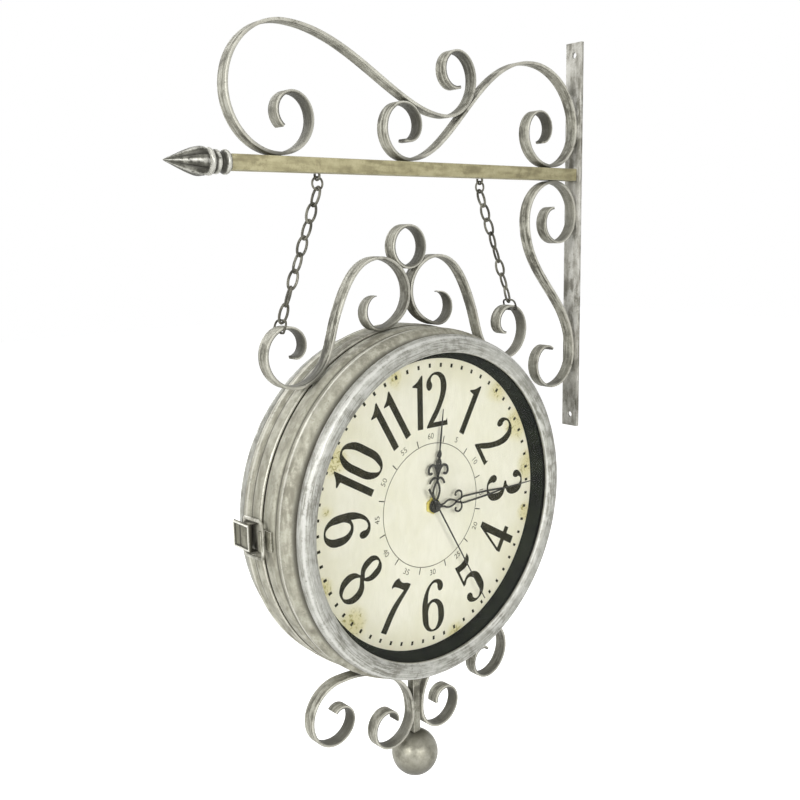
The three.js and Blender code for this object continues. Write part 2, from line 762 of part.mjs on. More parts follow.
function blade(outline, plane) {
  const shape = new THREE.Shape(outline.map(([x, z]) => new THREE.Vector2(x, z)));
  const flat = new THREE.ExtrudeGeometry(shape, { depth: handThickness, bevelEnabled: false });
  return flat.rotateX(Math.PI / 2).translate(0, plane + handThickness, 0);
}

function disc(plane, radius, [x, z], sides = 16) {
  return rodBetween("y", plane, plane + handThickness, radius, [x, z], sides);
}

// A tapering bar with its point at the far end.
function spike(from, to, width, plane, x = 0) {
  return blade([[x - width / 2, from], [x + width / 2, from], [x + 0.2, to], [x - 0.2, to]], plane);
}

function handFrom(solids, holes, plane, tubeRadius, boreRadius) {
  const back = plane - 1;
  const front = plane + handThickness + 1;
  const tube = rodBetween("y", tubeBack, plane + handThickness / 2, tubeRadius, [0, 0], 16);
  const deepHoles = holes.map(({ x, z, radius }) => rodBetween("y", back, front, radius, [x, z], 12));
  const whole = cut(join([tube, ...solids]), deepHoles);
  if (boreRadius === 0) return whole;
  return cut(whole, [rodBetween("y", tubeBack - 1, front, boreRadius, [0, 0], 16)]);
}

function hourHand() {
  const p = hourPlane;
  const reach = 0.32 * hourLength; // the trefoil's height
  const lobes = [
    [0, reach + lobeRise],
    [-lobeSpread, reach - lobeDrop],
    [lobeSpread, reach - lobeDrop],
  ];
  const foot = hourBar / 2;
  const neck = hourTip / 2;
  const solids = [
    disc(p, hourHub, [0, 0], 20),
    blade([[-foot, 0], [foot, 0], [neck, reach], [-neck, reach]], p),
    ...lobes.map((place) => disc(p, lobeRadius, place)),
    spike(reach + 1.3 * lobeRise, hourLength, hourTip, p),
  ];
  const holes = lobes.map(([x, z]) => ({ x, z, radius: lobeHole }));
  return handFrom(solids, holes, p, hourTube, minuteTube + runningGap / 2);
}

function minuteHand() {
  const p = hourPlane + handSpacing;
  const cross = 0.2 * minuteLength; // where two small rings stand out on either side
  const barsEnd = 0.68 * minuteLength;
  const rings = [[-sideRingSpread, cross], [sideRingSpread, cross]];
  const bar = (side) => blade([
    [side * twinInside, cross - sideRing],
    [side * twinSpread, cross - sideRing],
    [side * 0.7 * twinSpread, barsEnd - sideRing],
    [side * 0.5 * twinInside, barsEnd],
    [side * 0.25 * twinInside, barsEnd],
    [side * 1.2 * twinInside, barsEnd - 1.3 * sideRing],
  ], p);
  const foot = minuteBar / 2;
  const solids = [
    disc(p, minuteHub, [0, 0], 20),
    blade([[-foot, 0], [foot, 0], [0.85 * twinSpread, cross], [-0.85 * twinSpread, cross]], p),
    ...rings.map((place) => disc(p, sideRing, place)),
    bar(1),
    bar(-1),
    spike(barsEnd - minuteTip, minuteLength, minuteTip, p),
  ];
  const holes = rings.map(([x, z]) => ({ x, z, radius: sideRingHole }));
  return handFrom(solids, holes, p, minuteTube, secondPin + runningGap / 2);
}

function secondHand() {
  const p = hourPlane + 2 * handSpacing;
  const solids = [disc(p, secondHub, [0, 0]), spike(-secondTail, secondLength, secondWidth, p)];
  return handFrom(solids, [], p, secondPin, 0);
}

// --- Hinge and latch --------------------------------------------------------------------------------
// The hinge is drawn from the drum's centre, at three o'clock, and the latch at nine o'clock.

const seam = seamOffset;
const hingeX = drumRadius + gap + leafThickness + knuckleRadius - 1;
const knuckleThird = hingeHeight / 3;

function leaf(side, surface, knuckles) {
  const near = seam + side * (knuckleRadius + gap);
  const far = seam + side * leafLength;
  const ySpan = [Math.min(near, far), Math.max(near, far)];
  const half = hingeHeight / 2;
  const outer = drumRadius + gap + leafThickness;
  const plate = boxBetween([surface + gap, outer], ySpan, [-half, half]);
  const barrels = knuckles.map(([low, high]) =>
    rodBetween("z", low, high, knuckleRadius, [hingeX, seam], 16),
  );
  const bite = 0.1; // how far a web reaches into its leaf and its barrel
  const webSpan = [Math.min(seam, near) - bite, Math.max(seam, near) + bite];
  const webs = knuckles.map(([low, high]) => {
    return boxBetween([outer - leafThickness, outer], webSpan, [low, high]);
  });
  const bores = knuckles.map(([low, high]) => {
    return rodBetween("z", low - 1, high + 1, hingePin + runningGap / 2, [hingeX, seam], 16);
  });
  return cut(join([plate, ...webs, ...barrels]), bores);
}

const middleKnuckle = [-knuckleThird / 2 + gap / 2, knuckleThird / 2 - gap / 2];
const outerKnuckles = [
  [-hingeHeight / 2, -knuckleThird / 2 - gap / 2],
  [knuckleThird / 2 + gap / 2, hingeHeight / 2],
];

function hingePinRod() {
  const half = hingeHeight / 2 + gap;
  const shank = rodBetween("z", -half - 0.5, half + 0.5, hingePin, [hingeX, seam], 12);
  const heads = [[-half - 1.5, -half], [half, half + 1.5]];
  const rounds = heads.map(([low, high]) =>
    rodBetween("z", low, high, knuckleRadius - 0.3, [hingeX, seam], 12),
  );
  return join([shank, ...rounds]);
}

const latchFace = -drumRadius - gap;
const pivotX = -drumRadius - latchLift;
const pivotY = seam + latchPivot;
const earThickness = 1.2;
const pivotPin = 1;
const leverHalf = latchHeight / 2 - earThickness - gap;
const loopPivotY = pivotY + 5;

function latchBase() {
  const half = latchHeight / 2;
  const back = pivotY + leverLength;
  const plate = boxBetween([latchFace - leafThickness, latchFace], [seam + 2, back], [-half, half]);
  const ears = [-1, 1].map((side) => {
    const zSpan = [side * (half - earThickness), side * half].sort((a, b) => a - b);
    return boxBetween([pivotX - 2, latchFace - 0.5], [pivotY - 2.2, pivotY + 2.2], zSpan);
  });
  const bore = rodBetween("z", -half - 1, half + 1, pivotPin + runningGap / 2, [pivotX, pivotY], 12);
  return cut(join([plate, ...ears]), [bore]);
}

function latchLever() {
  const half = latchHeight / 2;
  const face = pivotX - 1;
  const back = pivotY + leverLength + 2;
  const tongue = boxBetween([face - 1.2, face + 0.4], [pivotY, back], [-leverHalf, leverHalf]);
  const lip = boxBetween([face - 2.6, face], [back - 1.5, back], [-leverHalf, leverHalf]);
  const barrel = rodBetween("z", -leverHalf, leverHalf, 1.9, [pivotX, pivotY], 12);
  const pin = rodBetween("z", -half, half, pivotPin, [pivotX, pivotY], 12);
  const boss = rodBetween("z", -leverHalf, leverHalf, 1.7, [pivotX, loopPivotY], 12);
  const bore = rodBetween("z", -leverHalf - 1, leverHalf + 1, loopWire / 2 - 0.2, [pivotX, loopPivotY], 12);
  return cut(join([tongue, lip, barrel, pin, boss]), [bore]);
}

const loopCrossX = -drumRadius - 3;
const loopCrossY = seam - keeperReach;

// The wire loop: its two ends turn in to the lever, and its cross wire pulls on the keeper.
function latchLoop() {
  const outer = loopHeight / 2 - loopWire / 2;
  const ends = [-1, 1].map((side) => {
    const span = [side * (leverHalf - 2), side * outer].sort((a, b) => a - b);
    return rodBetween("z", span[0], span[1], loopWire / 2 - 0.5, [pivotX, loopPivotY], 10);
  });
  const start = new THREE.Vector3(pivotX, loopPivotY + 0.6, outer);
  const corner = 3;
  const points = [start];
  for (const side of [1, -1]) {
    for (let i = 0; i <= 3; i += 1) {
      const angle = radians(side > 0 ? 30 * i : 90 - 30 * i);
      const y = loopCrossY + corner - corner * Math.sin(angle);
      const z = side * (outer - corner + corner * Math.cos(angle));
      const share = (y - loopCrossY) / (start.y - loopCrossY);
      points.push(new THREE.Vector3(THREE.MathUtils.lerp(loopCrossX, pivotX, share), y, z));
    }
  }
  points.push(new THREE.Vector3(pivotX, start.y, -outer));
  return join([bentWire(points, loopWire, 30, 8), ...ends]);
}

function latchKeeper() {
  const surface = -drumRadius + doorStep - gap;
  const half = latchHeight / 2 - 4;
  const clear = loopWire / 2 + gap;
  const plate = boxBetween([surface - leafThickness, surface], [loopCrossY - 6, seam - 1.5], [-half, half]);
  const post = [loopCrossY + clear, loopCrossY + clear + 1.2];
  const lipX = loopCrossX - clear;
  const wall = boxBetween([lipX - 1, surface - 0.5], post, [-half, half]);
  const lip = boxBetween([lipX - 1, lipX], [loopCrossY - 1.2, post[1]], [-half, half]);
  return join([plate, wall, lip]);
}

// --- Assembly ---------------------------------------------------------------------------------------

piece("wall_plate", wallPlate(), agedSilver);
piece("arm_tube", armTube(), paleArm);
piece("arm_finial", armFinial(), darkSteel);
piece("upper_scroll_outer", strip(upperOuterPoints), agedSilver);
piece("upper_scroll_inner", strip(upperInnerPoints), agedSilver);
piece("lower_scroll", strip(lowerPoints), agedSilver);

for (const [label, side] of [["left", -1], ["right", 1]]) {
  const { chain, hook } = chainParts(side);
  const eyeX = clockX + (side * eyeSpacing) / 2;
  const mirror = side > 0 ? (points) => points : mirrored;
  piece(`chain_eye_${label}`, chainEye(eyeX), darkSteel);
  piece(`hanger_ring_${label}`, hangerRing(eyeX), darkSteel);
  piece(`chain_${label}`, chain, darkSteel);
  piece(`chain_hook_${label}`, hook, darkSteel);
  piece(`crest_scroll_${label}`, strip(placed(mirror(crestPoints))), agedSilver);
  piece(`bottom_scroll_${label}`, strip(placed(mirror(footPoints))), agedSilver);
}

piece("crest_ring", crestRing(), agedSilver);
piece("bottom_rod", bottomRod(), agedSilver);
piece("bottom_ball", bottomBall(), brightSteel);

// Time shown: a quarter past twelve and twenty-five seconds, in degrees clockwise.
const minuteAngle = 90;
const hourAngle = minuteAngle / 12;
const secondAngle = 150;

for (const [label, side] of [["front", -1], ["rear", 1]]) {
  const half = new THREE.Group();
  half.position.set(clockX, 0, clockZ);
  half.rotation.z = side < 0 ? Math.PI : 0;
  clock.add(half);
  const seamDistance = side * seamOffset + seamGap;
  const radius = side < 0 ? drumRadius - doorStep : drumRadius;
  piece(`${label}_shell`, shell(seamDistance, radius), agedSilver, half);
  piece(`${label}_bezel`, bezel(), brightSteel, half);
  piece(`${label}_glass`, glass(), glassMaterial, half);
  piece(`${label}_reveal`, reveal(), blackPaint, half);
  piece(`${label}_dial`, dial(), paper, half);
  piece(`${label}_movement`, movement(), blackPlastic, half);
  piece(`${label}_movement_nut`, movementNut(), brass, half);
  piece(`${label}_battery`, battery(), greyLabel, half);
  piece(`${label}_set_knob`, setKnob(), blackPlastic, half);
  const hands = [
    ["hour", hourHand, hourAngle],
    ["minute", minuteHand, minuteAngle],
    ["second", secondHand, secondAngle],
  ];
  for (const [hand, shape, angle] of hands) {
    piece(`${label}_${hand}_hand`, shape().rotateY(-radians(angle)), blackPaint, half);
  }
}

const fittings = new THREE.Group();
fittings.position.set(clockX, 0, clockZ);
clock.add(fittings);
piece("hinge_leaf_rear", leaf(1, drumRadius, outerKnuckles), darkSteel, fittings);
piece("hinge_leaf_front", leaf(-1, drumRadius - doorStep, [middleKnuckle]), darkSteel, fittings);
piece("hinge_pin", hingePinRod(), brightSteel, fittings);
piece("latch_base", latchBase(), darkSteel, fittings);
piece("latch_lever", latchLever(), darkSteel, fittings);
piece("latch_loop", latchLoop(), brightSteel, fittings);
piece("latch_keeper", latchKeeper(), darkSteel, fittings);

export default clock;
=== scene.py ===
import math

import bmesh
import bpy
from mathutils import Matrix, Vector


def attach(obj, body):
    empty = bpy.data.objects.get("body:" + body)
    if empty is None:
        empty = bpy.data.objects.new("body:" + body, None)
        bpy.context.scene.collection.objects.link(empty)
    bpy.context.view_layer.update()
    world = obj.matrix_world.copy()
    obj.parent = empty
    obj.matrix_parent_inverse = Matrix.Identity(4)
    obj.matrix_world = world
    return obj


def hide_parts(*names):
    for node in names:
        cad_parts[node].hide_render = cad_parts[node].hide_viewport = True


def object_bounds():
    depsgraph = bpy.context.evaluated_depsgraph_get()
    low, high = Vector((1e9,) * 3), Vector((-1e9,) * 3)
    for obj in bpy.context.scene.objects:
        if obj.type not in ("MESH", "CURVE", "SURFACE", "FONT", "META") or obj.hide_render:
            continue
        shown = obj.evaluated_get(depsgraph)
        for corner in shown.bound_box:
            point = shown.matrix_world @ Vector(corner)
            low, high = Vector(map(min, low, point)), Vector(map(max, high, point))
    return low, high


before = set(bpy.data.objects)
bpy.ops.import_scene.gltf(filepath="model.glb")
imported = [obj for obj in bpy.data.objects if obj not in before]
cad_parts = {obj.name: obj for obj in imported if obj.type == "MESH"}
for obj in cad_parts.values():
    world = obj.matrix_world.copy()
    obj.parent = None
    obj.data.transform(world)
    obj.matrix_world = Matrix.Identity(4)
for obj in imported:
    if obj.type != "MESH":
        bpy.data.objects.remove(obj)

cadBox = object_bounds()
mm = 0.001
scene = bpy.context.scene
print("frame loaded with", len(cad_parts), "nodes")


# Node trees. A Wire stands for one socket, so that sums are written as sums.
class Wire:
    def __init__(self, tree, socket):
        self.tree = tree
        self.socket = socket

    def __add__(self, other):
        return self.tree.maths("ADD", self, other)

    def __sub__(self, other):
        return self.tree.maths("SUBTRACT", self, other)

    def __rsub__(self, other):
        return self.tree.maths("SUBTRACT", other, self)

    def __mul__(self, other):
        return self.tree.maths("MULTIPLY", self, other)

    def __truediv__(self, other):
        return self.tree.maths("DIVIDE", self, other)

    def __rtruediv__(self, other):
        return self.tree.maths("DIVIDE", other, self)

    __radd__ = __add__
    __rmul__ = __mul__


class Tree:
    def __init__(self, nodeTree):
        self.tree = nodeTree
        self.count = 0

    def node(self, kind, settings=(), sockets=()):
        made = self.tree.nodes.new(kind)
        made.location = (220 * (self.count % 10), -260 * (self.count // 10))
        self.count += 1
        for name, value in dict(settings).items():
            if name == "stops":
                self.setStops(made.color_ramp, value)
            else:
                setattr(made, name, value)
        for key, value in dict(sockets).items():
            if isinstance(value, Wire):
                self.tree.links.new(value.socket, made.inputs[key])
            else:
                made.inputs[key].default_value = value
        return made

    def setStops(self, ramp, stops):
        while len(ramp.elements) < len(stops):
            ramp.elements.new(0.5)
        for element, (place, colour) in zip(ramp.elements, stops):
            element.position = place
            element.color = colour

    def out(self, node, output=0):
        return Wire(self, node.outputs[output])

    def maths(self, operation, *values, clamp=False):
        node = self.node("ShaderNodeMath", {"operation": operation, "use_clamp": clamp}, enumerate(values))
        return self.out(node)


class Paint(Tree):
    def __init__(self, name):
        self.material = bpy.data.materials.new(name)
        self.material.use_nodes = True
        super().__init__(self.material.node_tree)
        self.tree.nodes.clear()

    def place(self, offset=(0, 0, 0), scale=(1, 1, 1), turn=(0, 0, 0)):
        here = self.out(self.node("ShaderNodeTexCoord"), "Object")
        sockets = {"Vector": here, "Location": offset, "Rotation": turn, "Scale": scale}
        return self.out(self.node("ShaderNodeMapping", {}, sockets))

    def noise(self, place, scale, detail=4, rough=0.55, warp=0.0):
        sockets = {"Vector": place, "Scale": scale, "Detail": detail, "Roughness": rough, "Distortion": warp}
        return self.out(self.node("ShaderNodeTexNoise", {}, sockets))

    def split(self, vector):
        node = self.node("ShaderNodeSeparateXYZ", {}, {0: vector})
        return [self.out(node, i) for i in range(3)]

    def combine(self, x, y, z):
        return self.out(self.node("ShaderNodeCombineXYZ", {}, {0: x, 1: y, 2: z}))

    # A place that runs without a seam round the drum's axis.
    def roundAxis(self, around, outwards, deep):
        x, y, z = self.split(self.place((-drum["x"] * mm, 0, -drum["z"] * mm)))
        radius = self.maths("SQRT", x * x + z * z)
        return self.combine(x / radius * around, z / radius * around, radius * outwards + y * deep)

    def attribute(self, name):
        return self.out(self.node("ShaderNodeAttribute", {"attribute_name": name}), "Fac")

    def span(self, value, low, high):
        sockets = {"Value": value, "From Min": low, "From Max": high}
        settings = {"interpolation_type": "SMOOTHSTEP"}
        return self.out(self.node("ShaderNodeMapRange", settings, sockets))

    def blend(self, share, first, second):
        sockets = {0: share, 6: first, 7: second}
        return self.out(self.node("ShaderNodeMix", {"data_type": "RGBA"}, sockets), 2)

    def distance(self, place, point):
        sockets = {0: place, 1: point}
        node = self.node("ShaderNodeVectorMath", {"operation": "DISTANCE"}, sockets)
        return self.out(node, "Value")

    def bump(self, height, depth, strength=1.0):
        sockets = {"Height": height, "Distance": depth, "Strength": strength}
        return self.out(self.node("ShaderNodeBump", {}, sockets))

    def finish(self, sockets):
        shader = self.node("ShaderNodeBsdfPrincipled", {}, sockets)
        self.node("ShaderNodeOutputMaterial", {}, {"Surface": self.out(shader)})
        return self.material


def tint(red, green, blue):
    def linear(part):
        part /= 255
        return part / 12.92 if part <= 0.04045 else ((part + 0.055) / 1.055) ** 2.4

    return (linear(red), linear(green), linear(blue), 1.0)


# The drum's axis and rim, and what both halves of the case share, in millimetres.
drum = {
    "x": -193.0,
    "z": -246.0,
    "radius": 134.0,
    "doorStep": 1.1,
    "seam": 1.0,
    "seamGap": 0.15,
    "sheet": 1.2,
    "segments": 176,
}


# The camera stands where the photograph was taken from.
camera = {
    "place": (-647.76, -518.20, -44.69),
    "yaw": 0.7111,  # from +Y towards +X
    "pitch": 0.1783,  # downwards
    "roll": -0.0200,
    "lens": 41.94,
}
stage = {
    "floorDrop": 0.36,  # from the ball to the floor
    "floorSize": 14.0,
    "floorGlow": 0.9,
    "worldLevel": 0.14,
    "lamps": (
        # place, size, watts
        ((-2.8, -0.5, 0.7), 0.8, 46),
        ((-0.8, -2.6, 0.5), 1.3, 50),
        ((-0.5, 0.0, 2.2), 1.2, 9),
        ((-0.3, 2.6, 0.6), 1.8, 40),
    ),
}


def makeCamera():
    yaw, pitch, roll = camera["yaw"], camera["pitch"], camera["roll"]
    forward = Vector((math.sin(yaw) * math.cos(pitch), math.cos(yaw) * math.cos(pitch), -math.sin(pitch)))
    right = Vector((math.cos(yaw), -math.sin(yaw), 0))
    up = right.cross(forward)
    across = right * math.cos(roll) + up * math.sin(roll)
    upright = up * math.cos(roll) - right * math.sin(roll)
    lens = bpy.data.cameras.new("camera")
    lens.lens = camera["lens"]
    lens.sensor_width = 36
    lens.clip_start = 0.01
    made = bpy.data.objects.new("camera", lens)
    turn = Matrix((across, upright, -forward)).transposed().to_4x4()
    made.matrix_world = Matrix.Translation(Vector(camera["place"]) * mm) @ turn
    scene.collection.objects.link(made)
    scene.camera = made


def makeStage():
    half = stage["floorSize"] / 2
    low = cadBox[0][2] - stage["floorDrop"]
    mesh = bpy.data.meshes.new("floor")
    corners = [(-half, -half, low), (half, -half, low), (half, half, low), (-half, half, low)]
    mesh.from_pydata(corners, [], [(0, 1, 2, 3)])
    floor = bpy.data.objects.new("floor", mesh)
    scene.collection.objects.link(floor)
    paint = Paint("floorPaint")
    rays = paint.node("ShaderNodeLightPath")
    seen = paint.maths("MAXIMUM", paint.out(rays, "Is Camera Ray"), paint.out(rays, "Is Glossy Ray"))
    seen = paint.maths("MAXIMUM", seen, paint.out(rays, "Is Transmission Ray"))
    cloud = paint.noise(paint.place(), 3)
    colour = paint.blend(cloud, tint(214, 214, 212), tint(220, 220, 218))
    glow = seen * stage["floorGlow"]
    sockets = {"Base Color": colour, "Roughness": 0.9, "Emission Color": (1, 1, 1, 1), "Emission Strength": glow}
    mesh.materials.append(paint.finish(sockets))

    world = bpy.data.worlds.new("studio")
    world.use_nodes = True
    sky = Tree(world.node_tree)
    world.node_tree.nodes.clear()
    rays = sky.node("ShaderNodeLightPath")
    seen = sky.maths("MAXIMUM", sky.out(rays, "Is Camera Ray"), sky.out(rays, "Is Glossy Ray"))
    seen = sky.maths("MAXIMUM", seen, sky.out(rays, "Is Transmission Ray"))
    level = seen * (1 - stage["worldLevel"]) + stage["worldLevel"]
    light = sky.node("ShaderNodeBackground", {}, {"Color": (1, 1, 1, 1), "Strength": level})
    sky.node("ShaderNodeOutputWorld", {}, {"Surface": sky.out(light)})
    scene.world = world
    scene.view_settings.view_transform = "Standard"

    middle = (Vector(cadBox[0]) + Vector(cadBox[1])) / 2
    for i, (place, size, watts) in enumerate(stage["lamps"]):
        light = bpy.data.lights.new(f"lamp{i}", "AREA")
        light.size = size
        light.energy = watts
        lamp = bpy.data.objects.new(f"lamp{i}", light)
        aim = (middle - Vector(place)).to_track_quat("-Z", "Y")
        lamp.matrix_world = Matrix.Translation(place) @ aim.to_matrix().to_4x4()
        lamp.visible_camera = False
        scene.collection.objects.link(lamp)


makeCamera()
makeStage()
print("camera, floor and lamps made")


# Materials. Patterns are in metres on Object coordinates; strips also carry "across" and "along".
# flow says what the brush marks follow: a strip, the drum's rim, or a direction they are drawn out in.
def agedMetal(name, light, middle, dark, edge, rough=(0.4, 0.6), metal=0.25, flow=(1, 1, 0.25), scale=1.0):
    paint = Paint(name)
    place = paint.place()
    cloud = paint.noise(place, 24 * scale, 4, 0.55, 0.3)
    patch = paint.noise(paint.place((3, 1, 2)), 110 * scale, 4, 0.6, 0.4)
    grain = paint.noise(place, 640, 3, 0.65)
    if flow == "strip":
        marks = paint.noise(paint.combine(paint.attribute("along") * 45, paint.attribute("across") * 650, cloud * 4), 1)
    elif flow == "drum":
        marks = paint.noise(paint.roundAxis(9, 1300, 900), 1)
    else:
        marks = paint.noise(paint.place((0, 0, 5), flow), 210)
    share = cloud * 0.3 + patch * 0.3 + marks * 0.4
    colour = paint.blend(paint.span(share, 0.39, 0.53), dark, middle)
    shine = paint.span(marks * 0.5 + patch * 0.3 + grain * 0.2, 0.47, 0.62)
    colour = paint.blend(shine, colour, light)
    smudge = paint.span(paint.noise(paint.place((7, 2, 5)), 42 * scale, 3, 0.5, 0.6), 0.6, 0.72)
    colour = paint.blend(smudge * 0.45, colour, dark)
    worn = paint.span(paint.attribute("wear") + (grain - 0.5) * 0.6 + (patch - 0.5) * 0.5, 0.35, 0.85)
    if flow == "strip":
        inside = paint.maths("ABSOLUTE", paint.attribute("across"))
        worn = paint.maths("MAXIMUM", worn, paint.span(inside + (patch - 0.5) * 0.0015, 0.0045, 0.0049) * 0.7)
    colour = paint.blend(worn * 0.8, colour, edge)
    # Darkening, partly patina and partly painted shade: in recesses marked on the mesh and on the inner faces of tight
    # curls.
    grime = paint.attribute("grime") + paint.attribute("hollow") * 0.9
    if flow == "strip":
        # Painted contact shadow on strips close to where they touch the drum and the arm.
        x, y, z = paint.split(place)
        reach = paint.distance(paint.combine(x, 0.0, z), (drum["x"] * mm, 0, drum["z"] * mm))
        drumContactShade = 1 - paint.span(reach, (drum["radius"] + 1) * mm, (drum["radius"] + 9) * mm)
        armContactShade = 1 - paint.span(paint.maths("ABSOLUTE", z), 0.0055, 0.013)
        grime = paint.maths("MAXIMUM", grime, paint.maths("MAXIMUM", drumContactShade, armContactShade) * 0.75)
    grime = paint.span(grime + (patch - 0.5) * 0.5 + (marks - 0.5) * 0.3, 0.12, 0.9)
    colour = paint.blend(grime * 0.88, colour, paint.blend(0.6, dark, tint(38, 37, 30)))
    pits = paint.span(grain * 0.65 + patch * 0.35, 0.36, 0.42)
    colour = paint.blend(pits * 0.6 + 0.4, dark, colour)
    roughness = rough[1] - worn * (rough[1] - rough[0]) - shine * 0.07
    height = marks * 0.4 + patch * 0.25 + grain * 0.35
    return paint.finish({
        "Base Color": colour,
        "Roughness": roughness,
        "Metallic": metal,
        "Specular IOR Level": 0.35,
        "Normal": paint.bump(height, 0.0003, 0.6),
    })


def plainCoat(name, colour, other, rough, scale=180, depth=0.0001, metal=0.0, gloss=0.3):
    paint = Paint(name)
    place = paint.place()
    cloud = paint.noise(place, scale, 4)
    grain = paint.noise(place, scale * 6, 3)
    mixed = paint.blend(paint.span(cloud, 0.35, 0.65), colour, other)
    mixed = paint.blend(paint.span(paint.attribute("wear"), 0.4, 1.0) * 0.35, mixed, tint(150, 148, 140))
    return paint.finish({
        "Base Color": mixed,
        "Roughness": cloud * 0.15 + (rough - 0.08),
        "Metallic": metal,
        "Specular IOR Level": gloss,
        "Normal": paint.bump(grain * 0.6 + cloud * 0.4, depth, 0.5),
    })


stripSilver = agedMetal(
    "stripSilver", tint(184, 183, 170), tint(144, 142, 129), tint(84, 82, 71), tint(208, 206, 194), flow="strip"
)
agedSilver = agedMetal(
    "agedSilver", tint(196, 195, 188), tint(168, 166, 157), tint(112, 110, 100), tint(202, 201, 193)
)
drumSilver = agedMetal(
    "drumSilver", tint(180, 178, 163), tint(158, 156, 141), tint(126, 123, 109), tint(210, 208, 195), scale=0.8
)
bezelSilver = agedMetal(
    "bezelSilver", tint(192, 192, 186), tint(166, 166, 158), tint(122, 121, 112), tint(204, 204, 198),
    (0.4, 0.56), 0.25, flow="drum",
)
brightSilver = agedMetal(
    "brightSilver", tint(204, 203, 193), tint(172, 170, 158), tint(118, 116, 104), tint(222, 221, 212), (0.3, 0.5), 0.4
)
latchSilver = agedMetal(
    "latchSilver", tint(156, 154, 138), tint(122, 120, 104), tint(70, 68, 57), tint(232, 231, 220), (0.32, 0.54)
)
paleArm = agedMetal(
    "paleArm", tint(176, 169, 134), tint(160, 153, 118), tint(130, 123, 93), tint(184, 180, 152), (0.42, 0.62), 0.15,
    flow=(0.2, 1, 1),
)
darkSteel = agedMetal(
    "darkSteel", tint(126, 124, 112), tint(84, 82, 72), tint(46, 45, 38), tint(164, 162, 148), (0.36, 0.55), 0.3
)
castSilver = agedMetal(
    "castSilver", tint(136, 135, 126), tint(100, 99, 90), tint(58, 57, 50), tint(208, 207, 198), (0.34, 0.5), 0.3
)
ballSilver = agedMetal(
    "ballSilver", tint(150, 148, 136), tint(138, 136, 123), tint(112, 110, 98), tint(178, 176, 164), (0.36, 0.44), 0.6,
    flow=(1, 1, 1), scale=0.5,
)
brass = plainCoat("brass", tint(216, 204, 112), tint(196, 180, 84), 0.34, metal=0.2)
blackPaint = plainCoat("blackPaint", tint(34, 34, 27), tint(46, 46, 37), 0.5)
revealPaint = plainCoat("revealPaint", tint(14, 17, 11), tint(28, 32, 22), 0.85, scale=60, gloss=0.03)
numeralInk = plainCoat("numeralInk", tint(38, 37, 24), tint(54, 52, 36), 0.85, depth=0.00002, gloss=0.05)
paleInk = plainCoat("paleInk", tint(92, 91, 73), tint(120, 118, 97), 0.8, depth=0.00002, gloss=0.1)
blackPlastic = plainCoat("blackPlastic", tint(30, 30, 30), tint(40, 40, 40), 0.45)
cellWrap = plainCoat("cellWrap", tint(118, 122, 128), tint(132, 136, 142), 0.4)


# The dial's paper: cream, a little darker and yellower in patches close to its rim.
dialPaper = {
    "centre": (-193.0, -246.0),
    "stains": (
        # clock position in hours, radius in mm, size in mm
        (1.4, 105, 13),
        (2.1, 105, 17),
        (2.75, 108, 12),
        (3.5, 108, 12),
        (5.6, 110, 10),
        (7.6, 104, 17),
        (8.3, 108, 11),
        (9.3, 99, 9),
        (10.0, 103, 15),
        (11.4, 106, 10),
    ),
}


def dialCream(name, side):
    paint = Paint(name)
    place = paint.place()
    cloud = paint.noise(place, 26, 5, 0.6, 0.6)
    fibre = paint.noise(paint.place((0, 0, 0), (1, 1, 0.3)), 300, 3, 0.6)
    specks = paint.noise(place, 240, 5, 0.7, 1.5)
    blotch = 0.0
    for hour, radius, size in dialPaper["stains"]:
        angle = math.radians(30 * hour) * (-side)
        x = (dialPaper["centre"][0] + radius * math.sin(angle)) * mm
        z = (dialPaper["centre"][1] + radius * math.cos(angle)) * mm
        reach = paint.distance(place, (x, side * 0.0242, z))
        spot = 1 - paint.span(reach + (cloud - 0.5) * 0.03, 0.2 * size * mm, size * mm)
        blotch = paint.maths("MAXIMUM", blotch, spot)
    middle = (dialPaper["centre"][0] * mm, side * 0.0242, dialPaper["centre"][1] * mm)
    rim = paint.span(paint.distance(place, middle) + (cloud - 0.5) * 0.02, 0.082, 0.122)
    colour = paint.blend(paint.span(cloud, 0.35, 0.7), tint(241, 239, 220), tint(234, 232, 208))
    colour = paint.blend(paint.span(fibre, 0.3, 0.75) * 0.4, colour, tint(224, 222, 200))
    colour = paint.blend(rim * 0.5, colour, tint(220, 214, 178))
    colour = paint.blend(blotch * 0.6, colour, tint(212, 202, 134))
    foxing = paint.span(specks, 0.52, 0.62) * paint.span(blotch, 0.2, 0.8)
    colour = paint.blend(foxing * 0.8, colour, tint(150, 142, 72))
    return paint.finish({
        "Base Color": colour,
        "Roughness": cloud * 0.1 + 0.72,
        "Specular IOR Level": 0.15,
        "Normal": paint.bump(fibre, 0.00004, 0.5),
    })


def clearGlass():
    paint = Paint("clearGlass")
    smear = paint.noise(paint.place(), 22, 3)
    return paint.finish({
        "Base Color": tint(246, 250, 248),
        "Roughness": smear * 0.03 + 0.02,
        "Specular IOR Level": 0.25,
        "Alpha": smear * 0.01 + 0.006,
    })


dialFront = dialCream("dialCreamFront", -1)
dialRear = dialCream("dialCreamRear", 1)
glassClear = clearGlass()
print("materials made:", len(bpy.data.materials))


# Pieces. Every mesh is drawn in millimetres and ends in metres with its object at the origin.
def settle(mesh, material, body, nodes, name):
    mesh.materials.clear()
    mesh.materials.append(material)
    mesh.shade_smooth()
    mesh.set_sharp_from_angle(angle=math.radians(34))
    made = bpy.data.objects.new(name, mesh)
    scene.collection.objects.link(made)
    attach(made, body)
    if nodes:
        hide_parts(*nodes)
    return made


